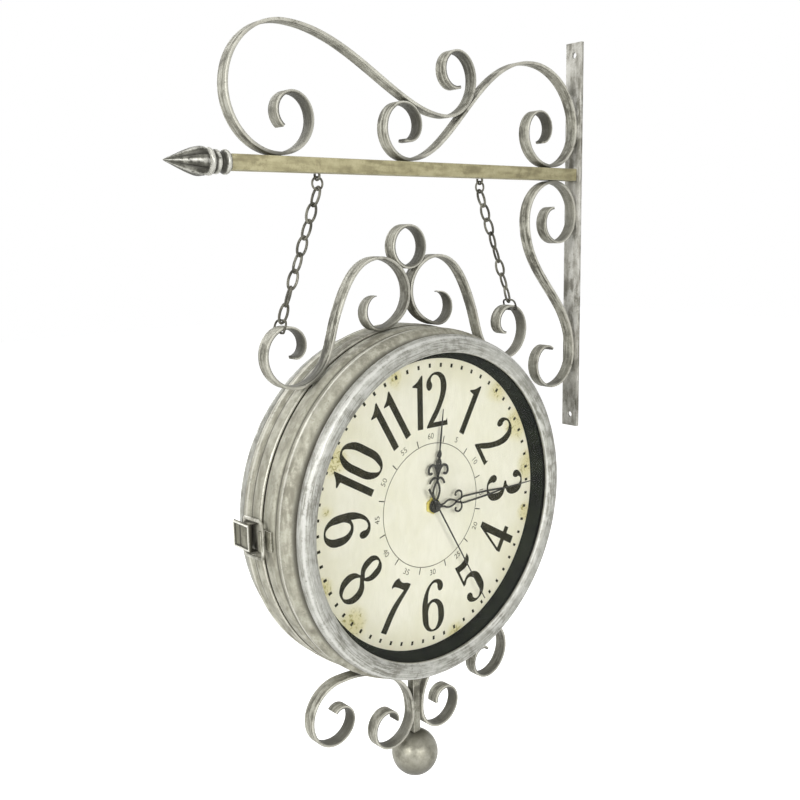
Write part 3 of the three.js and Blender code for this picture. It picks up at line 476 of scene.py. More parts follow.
def meshFrom(name, points, faces, merge=0.001):
    build = bmesh.new()
    verts = [build.verts.new(point) for point in points]
    for face in faces:
        build.faces.new([verts[i] for i in face])
    bmesh.ops.remove_doubles(build, verts=build.verts, dist=merge)
    bmesh.ops.dissolve_degenerate(build, edges=build.edges, dist=merge / 10)
    bmesh.ops.recalc_face_normals(build, faces=build.faces)
    mesh = bpy.data.meshes.new(name)
    build.to_mesh(mesh)
    build.free()
    return mesh


def joined(name, meshes):
    build = bmesh.new()
    for mesh in meshes:
        build.from_mesh(mesh)
    whole = bpy.data.meshes.new(name)
    build.to_mesh(whole)
    build.free()
    return whole


# A copy of a CAD solid with its sharp edges rounded; the middle of each rounding is marked as worn.
def softened(node, width, material, body, sharp=48):
    build = bmesh.new()
    build.from_mesh(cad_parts[node].data)
    bmesh.ops.remove_doubles(build, verts=build.verts, dist=1e-6)
    edges = [e for e in build.edges if len(e.link_faces) == 2 and e.calc_face_angle(0) < math.radians(0.5)]
    bmesh.ops.dissolve_edges(build, edges=edges, use_verts=False)
    edges = [e for e in build.edges if len(e.link_faces) == 2 and e.calc_face_angle(0) > math.radians(sharp)]
    made = bmesh.ops.bevel(
        build, geom=edges, offset=width * mm, segments=2, profile=0.5, affect="EDGES", clamp_overlap=True
    )
    bevelled = set(made["faces"])
    wear = build.verts.layers.float.new("wear")
    for vert in build.verts:
        vert[wear] = 1.0 if vert.link_faces and all(face in bevelled for face in vert.link_faces) else 0.0
    bmesh.ops.triangulate(build, faces=[face for face in build.faces if len(face.verts) > 4])
    mesh = bpy.data.meshes.new(node)
    build.to_mesh(mesh)
    build.free()
    return settle(mesh, material, body, [node], node + "_soft")


# Closed rings of [radius, height] turned about the drum's axis. side is -1 for the front half.
def rounded(corners, steps=4):
    points = []
    for i, (x, y, radius) in enumerate(corners):
        here = Vector((x, y))
        if radius == 0 or i in (0, len(corners) - 1):
            points.append((x, y))
            continue
        before = (Vector(corners[i - 1][:2]) - here).normalized()
        after = (Vector(corners[i + 1][:2]) - here).normalized()
        for j in range(steps + 1):
            t = j / steps
            bend = here + before * radius * (1 - t) ** 2 + after * radius * t ** 2
            points.append((bend.x, bend.y))
    return points


def pressed(line, thickness):
    inner = []
    for i, (x, y) in enumerate(line):
        before = Vector(line[max(i - 1, 0)])
        after = Vector(line[min(i + 1, len(line) - 1)])
        here = Vector((x, y))
        into = (here - before).normalized() if i > 0 else (after - here).normalized()
        out = (after - here).normalized() if i < len(line) - 1 else into
        along = (into + out).normalized()
        reach = thickness / max(along.dot(out), 0.5)
        inner.append((x - along.y * reach, y + along.x * reach))
    return line + inner[::-1]


# wear and the darkening spots are lists of (radius, height, reach) on the profile; the darkening is partly patina and
# partly painted shade.
def turned(name, profile, side, centre=None, segments=None, wear=(), grime=()):
    x, z = centre or (drum["x"], drum["z"])
    segments = segments or drum["segments"]
    count = len(profile)
    points, faces = [], []
    for i in range(segments):
        angle = 2 * math.pi * i / segments
        for radius, height in profile:
            points.append((x + radius * math.cos(angle), side * height, z + radius * math.sin(angle)))
        for j in range(count):
            a, b = i * count + j, i * count + (j + 1) % count
            faces.append((a, b, (b + count) % (segments * count), (a + count) % (segments * count)))
    mesh = meshFrom(name, points, faces)
    for label, spots in (("wear", wear), ("grime", grime)):
        if not spots:
            continue
        layer = mesh.attributes.new(label, "FLOAT", "POINT")
        for vert, value in zip(mesh.vertices, layer.data):
            radius = math.hypot(vert.co.x - x, vert.co.z - z)
            height = abs(vert.co.y)
            value.value = max([1 - math.hypot(radius - r, height - h) / reach for r, h, reach in spots] + [0])
    mesh.transform(Matrix.Scale(mm, 4))
    return mesh


# Geometry node trees, made once each.
class Shape(Tree):
    def __init__(self, name, inputs):
        group = bpy.data.node_groups.new(name, "GeometryNodeTree")
        group.is_modifier = True
        super().__init__(group)
        group.interface.new_socket("Geometry", in_out="INPUT", socket_type="NodeSocketGeometry")
        group.interface.new_socket("Geometry", in_out="OUTPUT", socket_type="NodeSocketGeometry")
        for label, kind in inputs:
            group.interface.new_socket(label, in_out="INPUT", socket_type="NodeSocket" + kind)
        self.start = self.node("NodeGroupInput")

    def input(self, label):
        return self.out(self.start, label)

    def done(self, geometry):
        real = self.node("GeometryNodeRealizeInstances", {}, {"Geometry": geometry})
        sockets = {"Geometry": self.out(real), "Material": self.input("Material")}
        painted = self.node("GeometryNodeSetMaterial", {}, sockets)
        self.node("NodeGroupOutput", {}, {"Geometry": self.out(painted)})
        return self.tree


def grown(name, source, group, values):
    carrier = bpy.data.objects.new(name + "_source", source)
    scene.collection.objects.link(carrier)
    modifier = carrier.modifiers.new("shape", "NODES")
    modifier.node_group = group
    for item in group.interface.items_tree:
        if item.in_out == "INPUT" and item.name in values:
            modifier[item.identifier] = values[item.name]
    graph = bpy.context.evaluated_depsgraph_get()
    mesh = bpy.data.meshes.new_from_object(carrier.evaluated_get(graph), depsgraph=graph)
    mesh.name = name
    bpy.data.objects.remove(carrier)
    return mesh


# Bent strips: stations (x, z, heading) in the plane of the arm, in millimetres.
strip = {
    "width": 10.0,
    "thickness": 2.2,
    "edge": 0.45,
    "step": 1.2,  # from one ring of corners to the next
    "tightRadius": 13.0,  # a curl as tight as this gets full painted shade on its inner face
    "innerShrink": 0.8,
    "gap": 0.3,
    "curlStep": 5,
    "sweepCount": 24,
    "plateFace": -3.0,
    "armTop": 5.0,
    "armReach": 338.0,
}


def makeStripTree():
    inputs = [("Width", "Float"), ("Thickness", "Float"), ("Edge", "Float"), ("Normal", "Vector")]
    shape = Shape("flatStrip", inputs + [("Step", "Float"), ("Taper", "Float"), ("Material", "Material")])
    path = shape.node("GeometryNodeMeshToCurve", {}, {"Mesh": shape.input("Geometry")})
    smooth = shape.node("GeometryNodeCurveSplineType", {"spline_type": "CATMULL_ROM"}, {"Curve": shape.out(path)})
    sockets = {"Curve": shape.out(smooth), "Length": shape.input("Step")}
    fine = shape.node("GeometryNodeResampleCurve", {"mode": "LENGTH"}, sockets)
    sockets = {"Curve": shape.out(fine), "Normal": shape.input("Normal")}
    facing = shape.node("GeometryNodeSetCurveNormal", {"mode": "FREE"}, sockets)
    along = shape.out(shape.node("GeometryNodeSplineParameter"), "Length")
    sockets = {"Geometry": shape.out(facing), "Name": "along", "Value": along}
    marked = shape.node("GeometryNodeStoreNamedAttribute", {"data_type": "FLOAT", "domain": "POINT"}, sockets)
    section = shape.node(
        "GeometryNodeCurvePrimitiveQuadrilateral",
        {"mode": "RECTANGLE"},
        {"Width": shape.input("Width"), "Height": shape.input("Thickness")},
    )
    corners = shape.node(
        "GeometryNodeFilletCurve",
        {"mode": "POLY"},
        {"Curve": shape.out(section), "Radius": shape.input("Edge"), "Count": 3},
    )
    place = shape.node("ShaderNodeSeparateXYZ", {}, {0: shape.out(shape.node("GeometryNodeInputPosition"))})
    stored = {"data_type": "FLOAT", "domain": "POINT"}
    sockets = {"Geometry": shape.out(corners), "Name": "across", "Value": shape.out(place, "X")}
    crossed = shape.node("GeometryNodeStoreNamedAttribute", stored, sockets)
    face = shape.maths("SIGN", shape.out(place, "Y"))
    sockets = {"Geometry": shape.out(crossed), "Name": "face", "Value": face}
    edged = shape.node("GeometryNodeStoreNamedAttribute", stored, sockets)
    end = shape.out(shape.node("GeometryNodeSplineParameter"), "Factor")
    thin = 1 - shape.maths("POWER", 1 - end, 45.0) * shape.input("Taper")
    sockets = {"Curve": shape.out(marked), "Profile Curve": shape.out(edged), "Fill Caps": True, "Scale": thin}
    band = shape.node("GeometryNodeCurveToMesh", {}, sockets)
    # Painted shade: the inner face of a curl is marked "hollow", more the tighter it turns.
    bend = shape.node("GeometryNodeInputNamedAttribute", {"data_type": "FLOAT"}, {"Name": "bend"})
    facing = shape.node("GeometryNodeInputNamedAttribute", {"data_type": "FLOAT"}, {"Name": "face"})
    hollow = shape.maths("MAXIMUM", shape.out(bend) * shape.out(facing), 0.0)
    sockets = {"Geometry": shape.out(band), "Name": "hollow", "Value": hollow}
    curlShaded = shape.node("GeometryNodeStoreNamedAttribute", stored, sockets)
    return shape.done(shape.out(curlShaded))


def makeWireTree():
    shape = Shape("roundWire", [("Diameter", "Float"), ("Sides", "Int"), ("Material", "Material")])
    path = shape.node("GeometryNodeMeshToCurve", {}, {"Mesh": shape.input("Geometry")})
    section = shape.node(
        "GeometryNodeCurvePrimitiveCircle",
        {"mode": "RADIUS"},
        {"Resolution": shape.input("Sides"), "Radius": shape.input("Diameter") * 0.5},
    )
    sockets = {"Curve": shape.out(path), "Profile Curve": shape.out(section), "Fill Caps": True}
    wire = shape.node("GeometryNodeCurveToMesh", {}, sockets)
    return shape.done(shape.out(wire))


# One link on each point of the chain, every other one turned by a quarter.
def makeChainTree():
    inputs = [("Link Length", "Float"), ("Link Width", "Float"), ("Wire", "Float"), ("Lean", "Float")]
    shape = Shape("chainLinks", inputs + [("Twist", "Float"), ("Seed", "Int"), ("Material", "Material")])
    wide = shape.input("Link Width") - shape.input("Wire")
    long = shape.input("Link Length") - shape.input("Wire")
    outline = shape.node("GeometryNodeCurvePrimitiveCircle", {"mode": "RADIUS"}, {"Resolution": 32, "Radius": 0.5})
    size = shape.node("ShaderNodeCombineXYZ", {}, {0: wide, 1: long, 2: 1.0})
    oval = shape.node("GeometryNodeTransform", {}, {"Geometry": shape.out(outline), "Scale": shape.out(size)})
    sockets = {"Resolution": 9, "Radius": shape.input("Wire") * 0.5}
    section = shape.node("GeometryNodeCurvePrimitiveCircle", {"mode": "RADIUS"}, sockets)
    sockets = {"Curve": shape.out(oval), "Profile Curve": shape.out(section)}
    link = shape.node("GeometryNodeCurveToMesh", {}, sockets)
    upright = shape.node("GeometryNodeTransform", {}, {"Geometry": shape.out(link)})
    upright.inputs["Rotation"].default_value = (math.pi / 2, 0, 0)
    index = shape.out(shape.node("GeometryNodeInputIndex"))
    random = shape.node("FunctionNodeRandomValue", {"data_type": "FLOAT"})
    random.inputs[2].default_value = -1.0
    random.inputs[3].default_value = 1.0
    shape.tree.links.new(shape.input("Seed").socket, random.inputs["Seed"])
    jitter = shape.out(random, 1) * shape.input("Twist")
    quarter = shape.maths("MODULO", index + 1, 2.0) * (math.pi / 2)
    sockets = {"Axis": (0, 0, 1), "Angle": quarter + jitter}
    spin = shape.node("FunctionNodeAxisAngleToRotation", {}, sockets)
    lean = shape.node("FunctionNodeAxisAngleToRotation", {}, {"Axis": (0, 1, 0), "Angle": shape.input("Lean")})
    sockets = {"Rotation": shape.out(spin), "Rotate By": shape.out(lean)}
    turn = shape.node("FunctionNodeRotateRotation", {"rotation_space": "GLOBAL"}, sockets)
    sockets = {"Points": shape.input("Geometry"), "Instance": shape.out(upright), "Rotation": shape.out(turn)}
    links = shape.node("GeometryNodeInstanceOnPoints", {}, sockets)
    return shape.done(shape.out(links))


# Small raised marks in a ring, all pointing to the middle.
def makeMarkTree():
    inputs = [("Count", "Int"), ("Radius", "Float"), ("Long", "Float"), ("Wide", "Float"), ("High", "Float")]
    shape = Shape("dialMarks", inputs + [("Start", "Float"), ("Material", "Material")])
    sockets = {"Resolution": shape.input("Count"), "Radius": shape.input("Radius")}
    ring = shape.node("GeometryNodeCurvePrimitiveCircle", {"mode": "RADIUS"}, sockets)
    points = shape.node("GeometryNodeCurveToPoints", {"mode": "EVALUATED"}, {"Curve": shape.out(ring)})
    size = shape.node(
        "ShaderNodeCombineXYZ", {}, {0: shape.input("Long"), 1: shape.input("Wide"), 2: shape.input("High")}
    )
    mark = shape.node("GeometryNodeMeshCube", {}, {"Size": shape.out(size)})
    place = shape.node("ShaderNodeSeparateXYZ", {}, {0: shape.out(shape.node("GeometryNodeInputPosition"))})
    angle = shape.maths("ARCTAN2", shape.out(place, "Y"), shape.out(place, "X"))
    turn = shape.node("FunctionNodeAxisAngleToRotation", {}, {"Axis": (0, 0, 1), "Angle": angle})
    sockets = {"Points": shape.out(points), "Instance": shape.out(mark), "Rotation": shape.out(turn)}
    marks = shape.node("GeometryNodeInstanceOnPoints", {}, sockets)
    start = shape.node("ShaderNodeCombineXYZ", {}, {2: shape.input("Start")})
    real = shape.node("GeometryNodeRealizeInstances", {}, {"Geometry": shape.out(marks)})
    turned = shape.node("GeometryNodeTransform", {}, {"Geometry": shape.out(real), "Rotation": shape.out(start)})
    return shape.done(shape.out(turned))


# A domed rivet on every point of the source, its axis turned from +Z by the given angles.
def makeRivetTree():
    shape = Shape("rivetHeads", [("Radius", "Float"), ("Rise", "Float"), ("Turn", "Vector"), ("Material", "Material")])
    ball = shape.node("GeometryNodeMeshUVSphere", {}, {"Segments": 16, "Rings": 8, "Radius": 1.0})
    size = shape.node(
        "ShaderNodeCombineXYZ", {}, {0: shape.input("Radius"), 1: shape.input("Radius"), 2: shape.input("Rise")}
    )
    dome = shape.node("GeometryNodeTransform", {}, {"Geometry": shape.out(ball), "Scale": shape.out(size)})
    turn = shape.node("FunctionNodeEulerToRotation", {}, {0: shape.input("Turn")})
    sockets = {"Points": shape.input("Geometry"), "Instance": shape.out(dome), "Rotation": shape.out(turn)}
    heads = shape.node("GeometryNodeInstanceOnPoints", {}, sockets)
    return shape.done(shape.out(heads))


stripTree = makeStripTree()
wireTree = makeWireTree()
chainTree = makeChainTree()
markTree = makeMarkTree()
rivetTree = makeRivetTree()
print("node trees made")


bandRest = strip["gap"] + strip["thickness"] / 2


def headed(x, z, degrees):
    return (x, z, math.radians(degrees))


def reversedStation(station):
    return (station[0], station[1], station[2] + math.pi)


def backwards(stations):
    return [reversedStation(station) for station in reversed(stations)]


def curl(start, radiusFrom, radiusTo, turn, ease=1):
    steps = math.ceil(abs(turn) / strip["curlStep"])
    step = math.radians(turn) / steps
    x, z, heading = start
    stations = []
    for i in range(steps):
        left = (1 - (i + 0.5) / steps) ** ease
        radius = radiusTo + (radiusFrom - radiusTo) * left
        chord = 2 * radius * math.sin(abs(step) / 2)
        x += chord * math.cos(heading + step / 2)
        z += chord * math.sin(heading + step / 2)
        heading += step
        stations.append((x, z, heading))
    return stations


# A curl whose inner end turns further, a little tighter.
def longCurl(start, radiusFrom, radiusTo, turn, endTurn, ease=1):
    stations = curl(start, radiusFrom, radiusTo, turn, ease)
    return stations + curl(stations[-1], radiusTo, strip["innerShrink"] * radiusTo, endTurn)


def sweep(start, end, leaving=0.38, arriving=None):
    arriving = leaving if arriving is None else arriving
    distance = math.hypot(end[0] - start[0], end[1] - start[1])
    first = Vector(start[:2])
    last = Vector(end[:2])
    second = first + Vector((math.cos(start[2]), math.sin(start[2]))) * leaving * distance
    third = last - Vector((math.cos(end[2]), math.sin(end[2]))) * arriving * distance
    stations = []
    for i in range(1, strip["sweepCount"] + 1):
        t = i / strip["sweepCount"]
        place = first * (1 - t) ** 3 + second * 3 * t * (1 - t) ** 2 + third * 3 * t * t * (1 - t) + last * t ** 3
        rate = (second - first) * (1 - t) ** 2 + (third - second) * 2 * t * (1 - t) + (last - third) * t * t
        stations.append((place.x, place.y, math.atan2(rate.y, rate.x)))
    return stations


def pathMesh(points, closed=False, bends=()):
    mesh = bpy.data.meshes.new("path")
    edges = [(i, i + 1) for i in range(len(points) - 1)]
    if closed:
        edges.append((len(points) - 1, 0))
    mesh.from_pydata([Vector(point) * mm for point in points], edges, [])
    if bends:
        layer = mesh.attributes.new("bend", "FLOAT", "POINT")
        layer.data.foreach_set("value", bends)
    return mesh


# How tightly a path turns at each station: about 1 in a small curl, below 0 where it turns right.
def bendsOf(stations):
    bends = []
    for before, here, after in zip(stations, stations[1:], stations[2:]):
        first = Vector((here[0] - before[0], here[1] - before[1]))
        second = Vector((after[0] - here[0], after[1] - here[1]))
        turn = math.atan2(first.x * second.y - first.y * second.x, first.dot(second))
        run = (first.length + second.length) / 2
        bends.append(max(-1.0, min(1.0, strip["tightRadius"] * turn / max(run, 0.01))))
    return [bends[0]] + bends + [bends[-1]]


def bandMesh(name, stations, material=None, closed=False, width=None, taper=0.0):
    values = {
        "Width": (width or strip["width"]) * mm,
        "Thickness": strip["thickness"] * mm,
        "Edge": strip["edge"] * mm,
        "Normal": (0.0, 1.0, 0.0),
        "Step": strip["step"] * mm,
        "Taper": taper,
        "Material": material or stripSilver,
    }
    path = pathMesh([(x, 0, z) for x, z, _ in stations], closed, bendsOf(stations))
    return grown(name, path, stripTree, values)


def wireMesh(name, points, diameter, material, closed=False, sides=14):
    values = {"Diameter": diameter * mm, "Sides": sides, "Material": material}
    return grown(name, pathMesh(points, closed), wireTree, values)


upper = {
    "quarter": 30.6,
    "rise": (40, 62),
    "curlReach": 156,
    "touchInset": 36,
    "loop": (35, 47),
    "dip": 31,
    "tip": 13,
    "armCurl": (32, 12),
    "wallCurl": (36, 12),
    "tucked": 24,
}


def makeUpperScrolls():
    face = strip["plateFace"] - bandRest
    rest = strip["armTop"] + bandRest
    plateTouch = headed(face, rest + upper["quarter"], 90)
    armTouch = headed(face - upper["quarter"], rest, 0)
    leftTouch = headed(armTouch[0] - upper["curlReach"], rest, 180)
    rise = curl(plateTouch, *upper["rise"], 90)
    run = sweep(rise[-1], leftTouch, 0.4, 0.29)

    outerTouch = headed(-strip["armReach"] + upper["touchInset"], rest, 180)
    loop = curl(outerTouch, *upper["loop"], -180)
    at = run[len(run) // 2 - 1]
    clear = strip["thickness"] + strip["gap"]
    outerRest = (at[0] + clear * math.sin(at[2]), at[1] - clear * math.cos(at[2]), at[2] + math.pi)
    trough = curl(reversedStation(outerRest), upper["dip"], upper["dip"], -math.degrees(outerRest[2]))
    outerRun = sweep(loop[-1], reversedStation(trough[-1]), 0.37, 0.3)
    outer = backwards(longCurl(reversedStation(outerTouch), *upper["armCurl"], 300, 25, 3)) + [outerTouch]
    outer += loop + outerRun + backwards(trough)[1:] + [outerRest]
    outer += longCurl(outerRest, upper["dip"], upper["tip"], 255, 80, 3)

    radius = upper["tucked"] / 1.15
    while True:
        tucked = longCurl(leftTouch, 1.15 * radius, 0.6 * radius, -300, -75)
        nearest = min(math.hypot(a[0] - b[0], a[1] - b[1]) for a in tucked for b in outerRun)
        if nearest >= clear:
            break
        radius -= 0.1
    inner = backwards(longCurl(reversedStation(armTouch), *upper["wallCurl"], -300, -45, 3)) + [armTouch]
    inner += curl(armTouch, upper["quarter"], upper["quarter"], 90) + rise + run + tucked
    settle(bandMesh("upperOuter", outer), stripSilver, "bracket", ["upper_scroll_outer"], "upperOuter")
    settle(bandMesh("upperInner", inner), stripSilver, "bracket", ["upper_scroll_inner"], "upperInner")


lower = {
    "quarter": 27,
    "shoulder": (33, 30),
    "topCurl": (24, 9),
    "drop": 150,
    "endCurl": (30, 8),
}


def makeLowerScroll():
    face = strip["plateFace"] - bandRest
    rest = -strip["armTop"] - bandRest
    armTouch = headed(face - lower["quarter"], rest, 180)
    plateTouch = headed(face, rest - lower["quarter"], 90)
    shoulder = curl(armTouch, *lower["shoulder"], 90)
    endTouch = headed(face, -lower["drop"], -90)
    path = backwards(curl(reversedStation(plateTouch), *lower["topCurl"], -270)) + [plateTouch]
    path += curl(plateTouch, lower["quarter"], lower["quarter"], 90) + shoulder
    path += sweep(shoulder[-1], endTouch) + curl(endTouch, *lower["endCurl"], -315)
    settle(bandMesh("lowerScroll", path), stripSilver, "bracket", ["lower_scroll"], "lowerScroll")


makeUpperScrolls()
makeLowerScroll()
print("bracket scrolls made")


crest = {
    "waist": 24,
    "topReach": 28,
    "topHeight": 49.5,
    "legReach": 66,
    "legHeight": 11,
    "curl": (28, 9),
    "curlTurn": 330,
    "inner": (14, 10),
    "ringRadius": 16,
}
foot = {
    "rodSize": 7,
    "seatDrop": 39,
    "shoulderReach": 74,
    "shoulderRise": 11,
    "curl": (29, 9),
    "inner": (23, 9),
}
onDrum = drum["radius"] + bandRest


def drumTouch(degrees, heading):
    angle = math.radians(degrees)
    return headed(onDrum * math.cos(angle), onDrum * math.sin(angle), heading)


def placed(stations, side):
    return [(drum["x"] + side * x, drum["z"] + z, heading) for x, z, heading in stations]


def makeCrest():
    radius = drum["radius"]
    seat = drumTouch(79, 169)
    meet = headed(bandRest - strip["gap"] / 2, radius + crest["waist"], 90)
    top = headed(crest["topReach"], radius + crest["topHeight"], 0)
    leg = headed(crest["legReach"], radius + crest["legHeight"], -68)
    footing = drumTouch(51, -39)
    arch = sweep(seat, meet) + sweep(meet, top) + sweep(top, leg)
    outerCurl = curl(footing, *crest["curl"], crest["curlTurn"])
    path = backwards(curl(reversedStation(seat), *crest["inner"], 200)) + [seat] + arch
    path += sweep(leg, footing) + outerCurl
    path += curl(outerCurl[-1], crest["curl"][1], strip["innerShrink"] * crest["curl"][1], 65)
    for label, side in (("left", -1), ("right", 1)):
        mesh = bandMesh(f"crest_{label}", placed(path, side), taper=0.75)
        settle(mesh, stripSilver, "clock", [f"crest_scroll_{label}"], f"crest_{label}")

    line = crest["ringRadius"] - strip["thickness"] / 2
    rest = line + strip["thickness"] + strip["gap"]
    near = [(x, z) for x, z, _ in arch if x < rest and z > meet[1]]
    height = max(z + math.sqrt(rest ** 2 - x ** 2) for x, z in near)
    ring = []
    for i in range(72):
        angle = 2 * math.pi * i / 72
        ring.append((drum["x"] + line * math.cos(angle), drum["z"] + height + line * math.sin(angle), 0))
    mesh = bandMesh("crestRing", ring, closed=True)
    settle(mesh, stripSilver, "clock", ["crest_ring"], "crestRing")
    return outerCurl


def makeFeet():
    radius = drum["radius"]
    rest = foot["rodSize"] / 2 + bandRest
    seat = headed(rest, -radius - foot["seatDrop"], 90)
    touch = drumTouch(-69.5, 20.5)
    shoulder = headed(foot["shoulderReach"], -radius + foot["shoulderRise"], 0)
    path = backwards(longCurl(reversedStation(seat), *foot["inner"], 320, 50)) + [seat]
    path += sweep(seat, touch, 0.42) + sweep(touch, shoulder) + longCurl(shoulder, *foot["curl"], -345, -65)
    for label, side in (("left", -1), ("right", 1)):
        mesh = bandMesh(f"foot_{label}", placed(path, side))
        settle(mesh, stripSilver, "clock", [f"bottom_scroll_{label}"], f"foot_{label}")


outerCurl = makeCrest()
makeFeet()
print("crest and feet made")


# Chains: an eye under the arm, a ring in it, eight links and an open hook round the crest's curl.
chain = {
    "eyeSpacing": 155,
    "wire": 1.5,
    "eyeWire": 1.7,
    "eyeRadius": 2.6,
    "eyeDrop": 1.5,
    "hangerRadius": 4.2,
    "linkCount": 8,
    "linkWidth": 8.0,
    "linkWire": 1.9,
    "hookHeight": 6,
    "hookShare": 0.625,  # of the curl's turn
    "twist": 0.42,
}


def ringPoints(x, z, radius, count=40):
    turns = [2 * math.pi * i / count for i in range(count)]
    return [(x + radius * math.cos(turn), 0, z + radius * math.sin(turn)) for turn in turns]


def makeChain(label, side, seed):
    x = drum["x"] + side * chain["eyeSpacing"] / 2
    top = -strip["armTop"] - strip["gap"]
    bend = top - chain["eyeDrop"]
    points = [(x, -chain["eyeRadius"], top)]
    for i in range(25):
        angle = math.pi * (1 + i / 24)
        points.append((x, chain["eyeRadius"] * math.cos(angle), bend + chain["eyeRadius"] * math.sin(angle)))
    points.append((x, chain["eyeRadius"], top))
    mesh = wireMesh(f"eye_{label}", points, chain["eyeWire"], darkSteel)
    settle(mesh, darkSteel, "bracket", [f"chain_eye_{label}"], f"eye_{label}")

    hangerTop = bend - chain["eyeRadius"] + chain["eyeWire"] / 2 + strip["gap"] + chain["wire"] / 2
    ring = ringPoints(x, hangerTop - chain["hangerRadius"], chain["hangerRadius"])
    mesh = wireMesh(f"hanger_{label}", ring, chain["wire"], darkSteel, closed=True)
    settle(mesh, darkSteel, "hanger_rings", [f"hanger_ring_{label}"], f"hanger_{label}")

    at = outerCurl[round(chain["hookShare"] * len(outerCurl)) - 1]
    band = Vector((drum["x"] + side * at[0], 0, drum["z"] + at[1]))
    ringBottom = Vector((x, 0, hangerTop - 2 * chain["hangerRadius"]))
    up = (ringBottom - band).normalized()
    hookTop = band + up * chain["hookHeight"]
    reach = chain["wire"] + strip["gap"]
    overlap = 0.8 * chain["wire"]
    span = (ringBottom - hookTop).length + 2 * reach
    length = (span + (chain["linkCount"] - 1) * overlap) / chain["linkCount"]
    pitch = length - overlap
    start = ringBottom + up * reach
    middles = [start - up * (length / 2 + i * pitch) for i in range(chain["linkCount"])]
    source = bpy.data.meshes.new("links")
    source.from_pydata([middle * mm for middle in middles], [], [])
    values = {
        "Link Length": (pitch + 2 * chain["linkWire"]) * mm,
        "Link Width": chain["linkWidth"] * mm,
        "Wire": chain["linkWire"] * mm,
        "Lean": math.atan2(up.x, up.z),
        "Twist": chain["twist"],
        "Seed": seed,
        "Material": darkSteel,
    }
    mesh = grown(f"links_{label}", source, chainTree, values)
    settle(mesh, darkSteel, f"{label}_chain", [f"chain_{label}"], f"links_{label}")

    half = strip["width"] / 2 + strip["gap"] + chain["wire"] / 2 + 0.3
    normal = Vector((side * math.sin(at[2]), 0, -math.cos(at[2])))
    skew = max(normal.dot(up), 0.5)
    low = -(strip["thickness"] / 2 / skew + strip["gap"] + chain["wire"] / 2 + 0.4)
    high = chain["hookHeight"]
    outline = rounded(
        [(1, low, 0), (half, low, 1.2), (half, high, 4.2), (-half, high, 4.2), (-half, low, 1.2), (-2.5, low, 0)], 8
    )
    points = [(band.x + up.x * y, x, band.z + up.z * y) for x, y in outline]
    mesh = wireMesh(f"hook_{label}", points, chain["wire"], darkSteel)
    settle(mesh, darkSteel, "clock", [f"chain_hook_{label}"], f"hook_{label}")


makeChain("left", -1, 4)
makeChain("right", 1, 9)
print("chains made")


case = {
    "bezelRadius": 128.6,
    "opening": 115.4,
    "shellDepth": 30.0,
    "front": 40.5,
    "flange": 7.0,
    "bead": 15.0,
    "beadDepth": 1.6,
    "valley": 126.6,  # radius of the hollow between shell and bezel
    "gap": 0.3,
    "lip": 35.8,
    "glassRadius": 126.8,
    "glass": (33.5, 35.5),
    "dial": (23.2, 24.2),
    "dialRadius": 129.7,
    "revealTaper": 5.2,
    "postHole": 4.3,
}


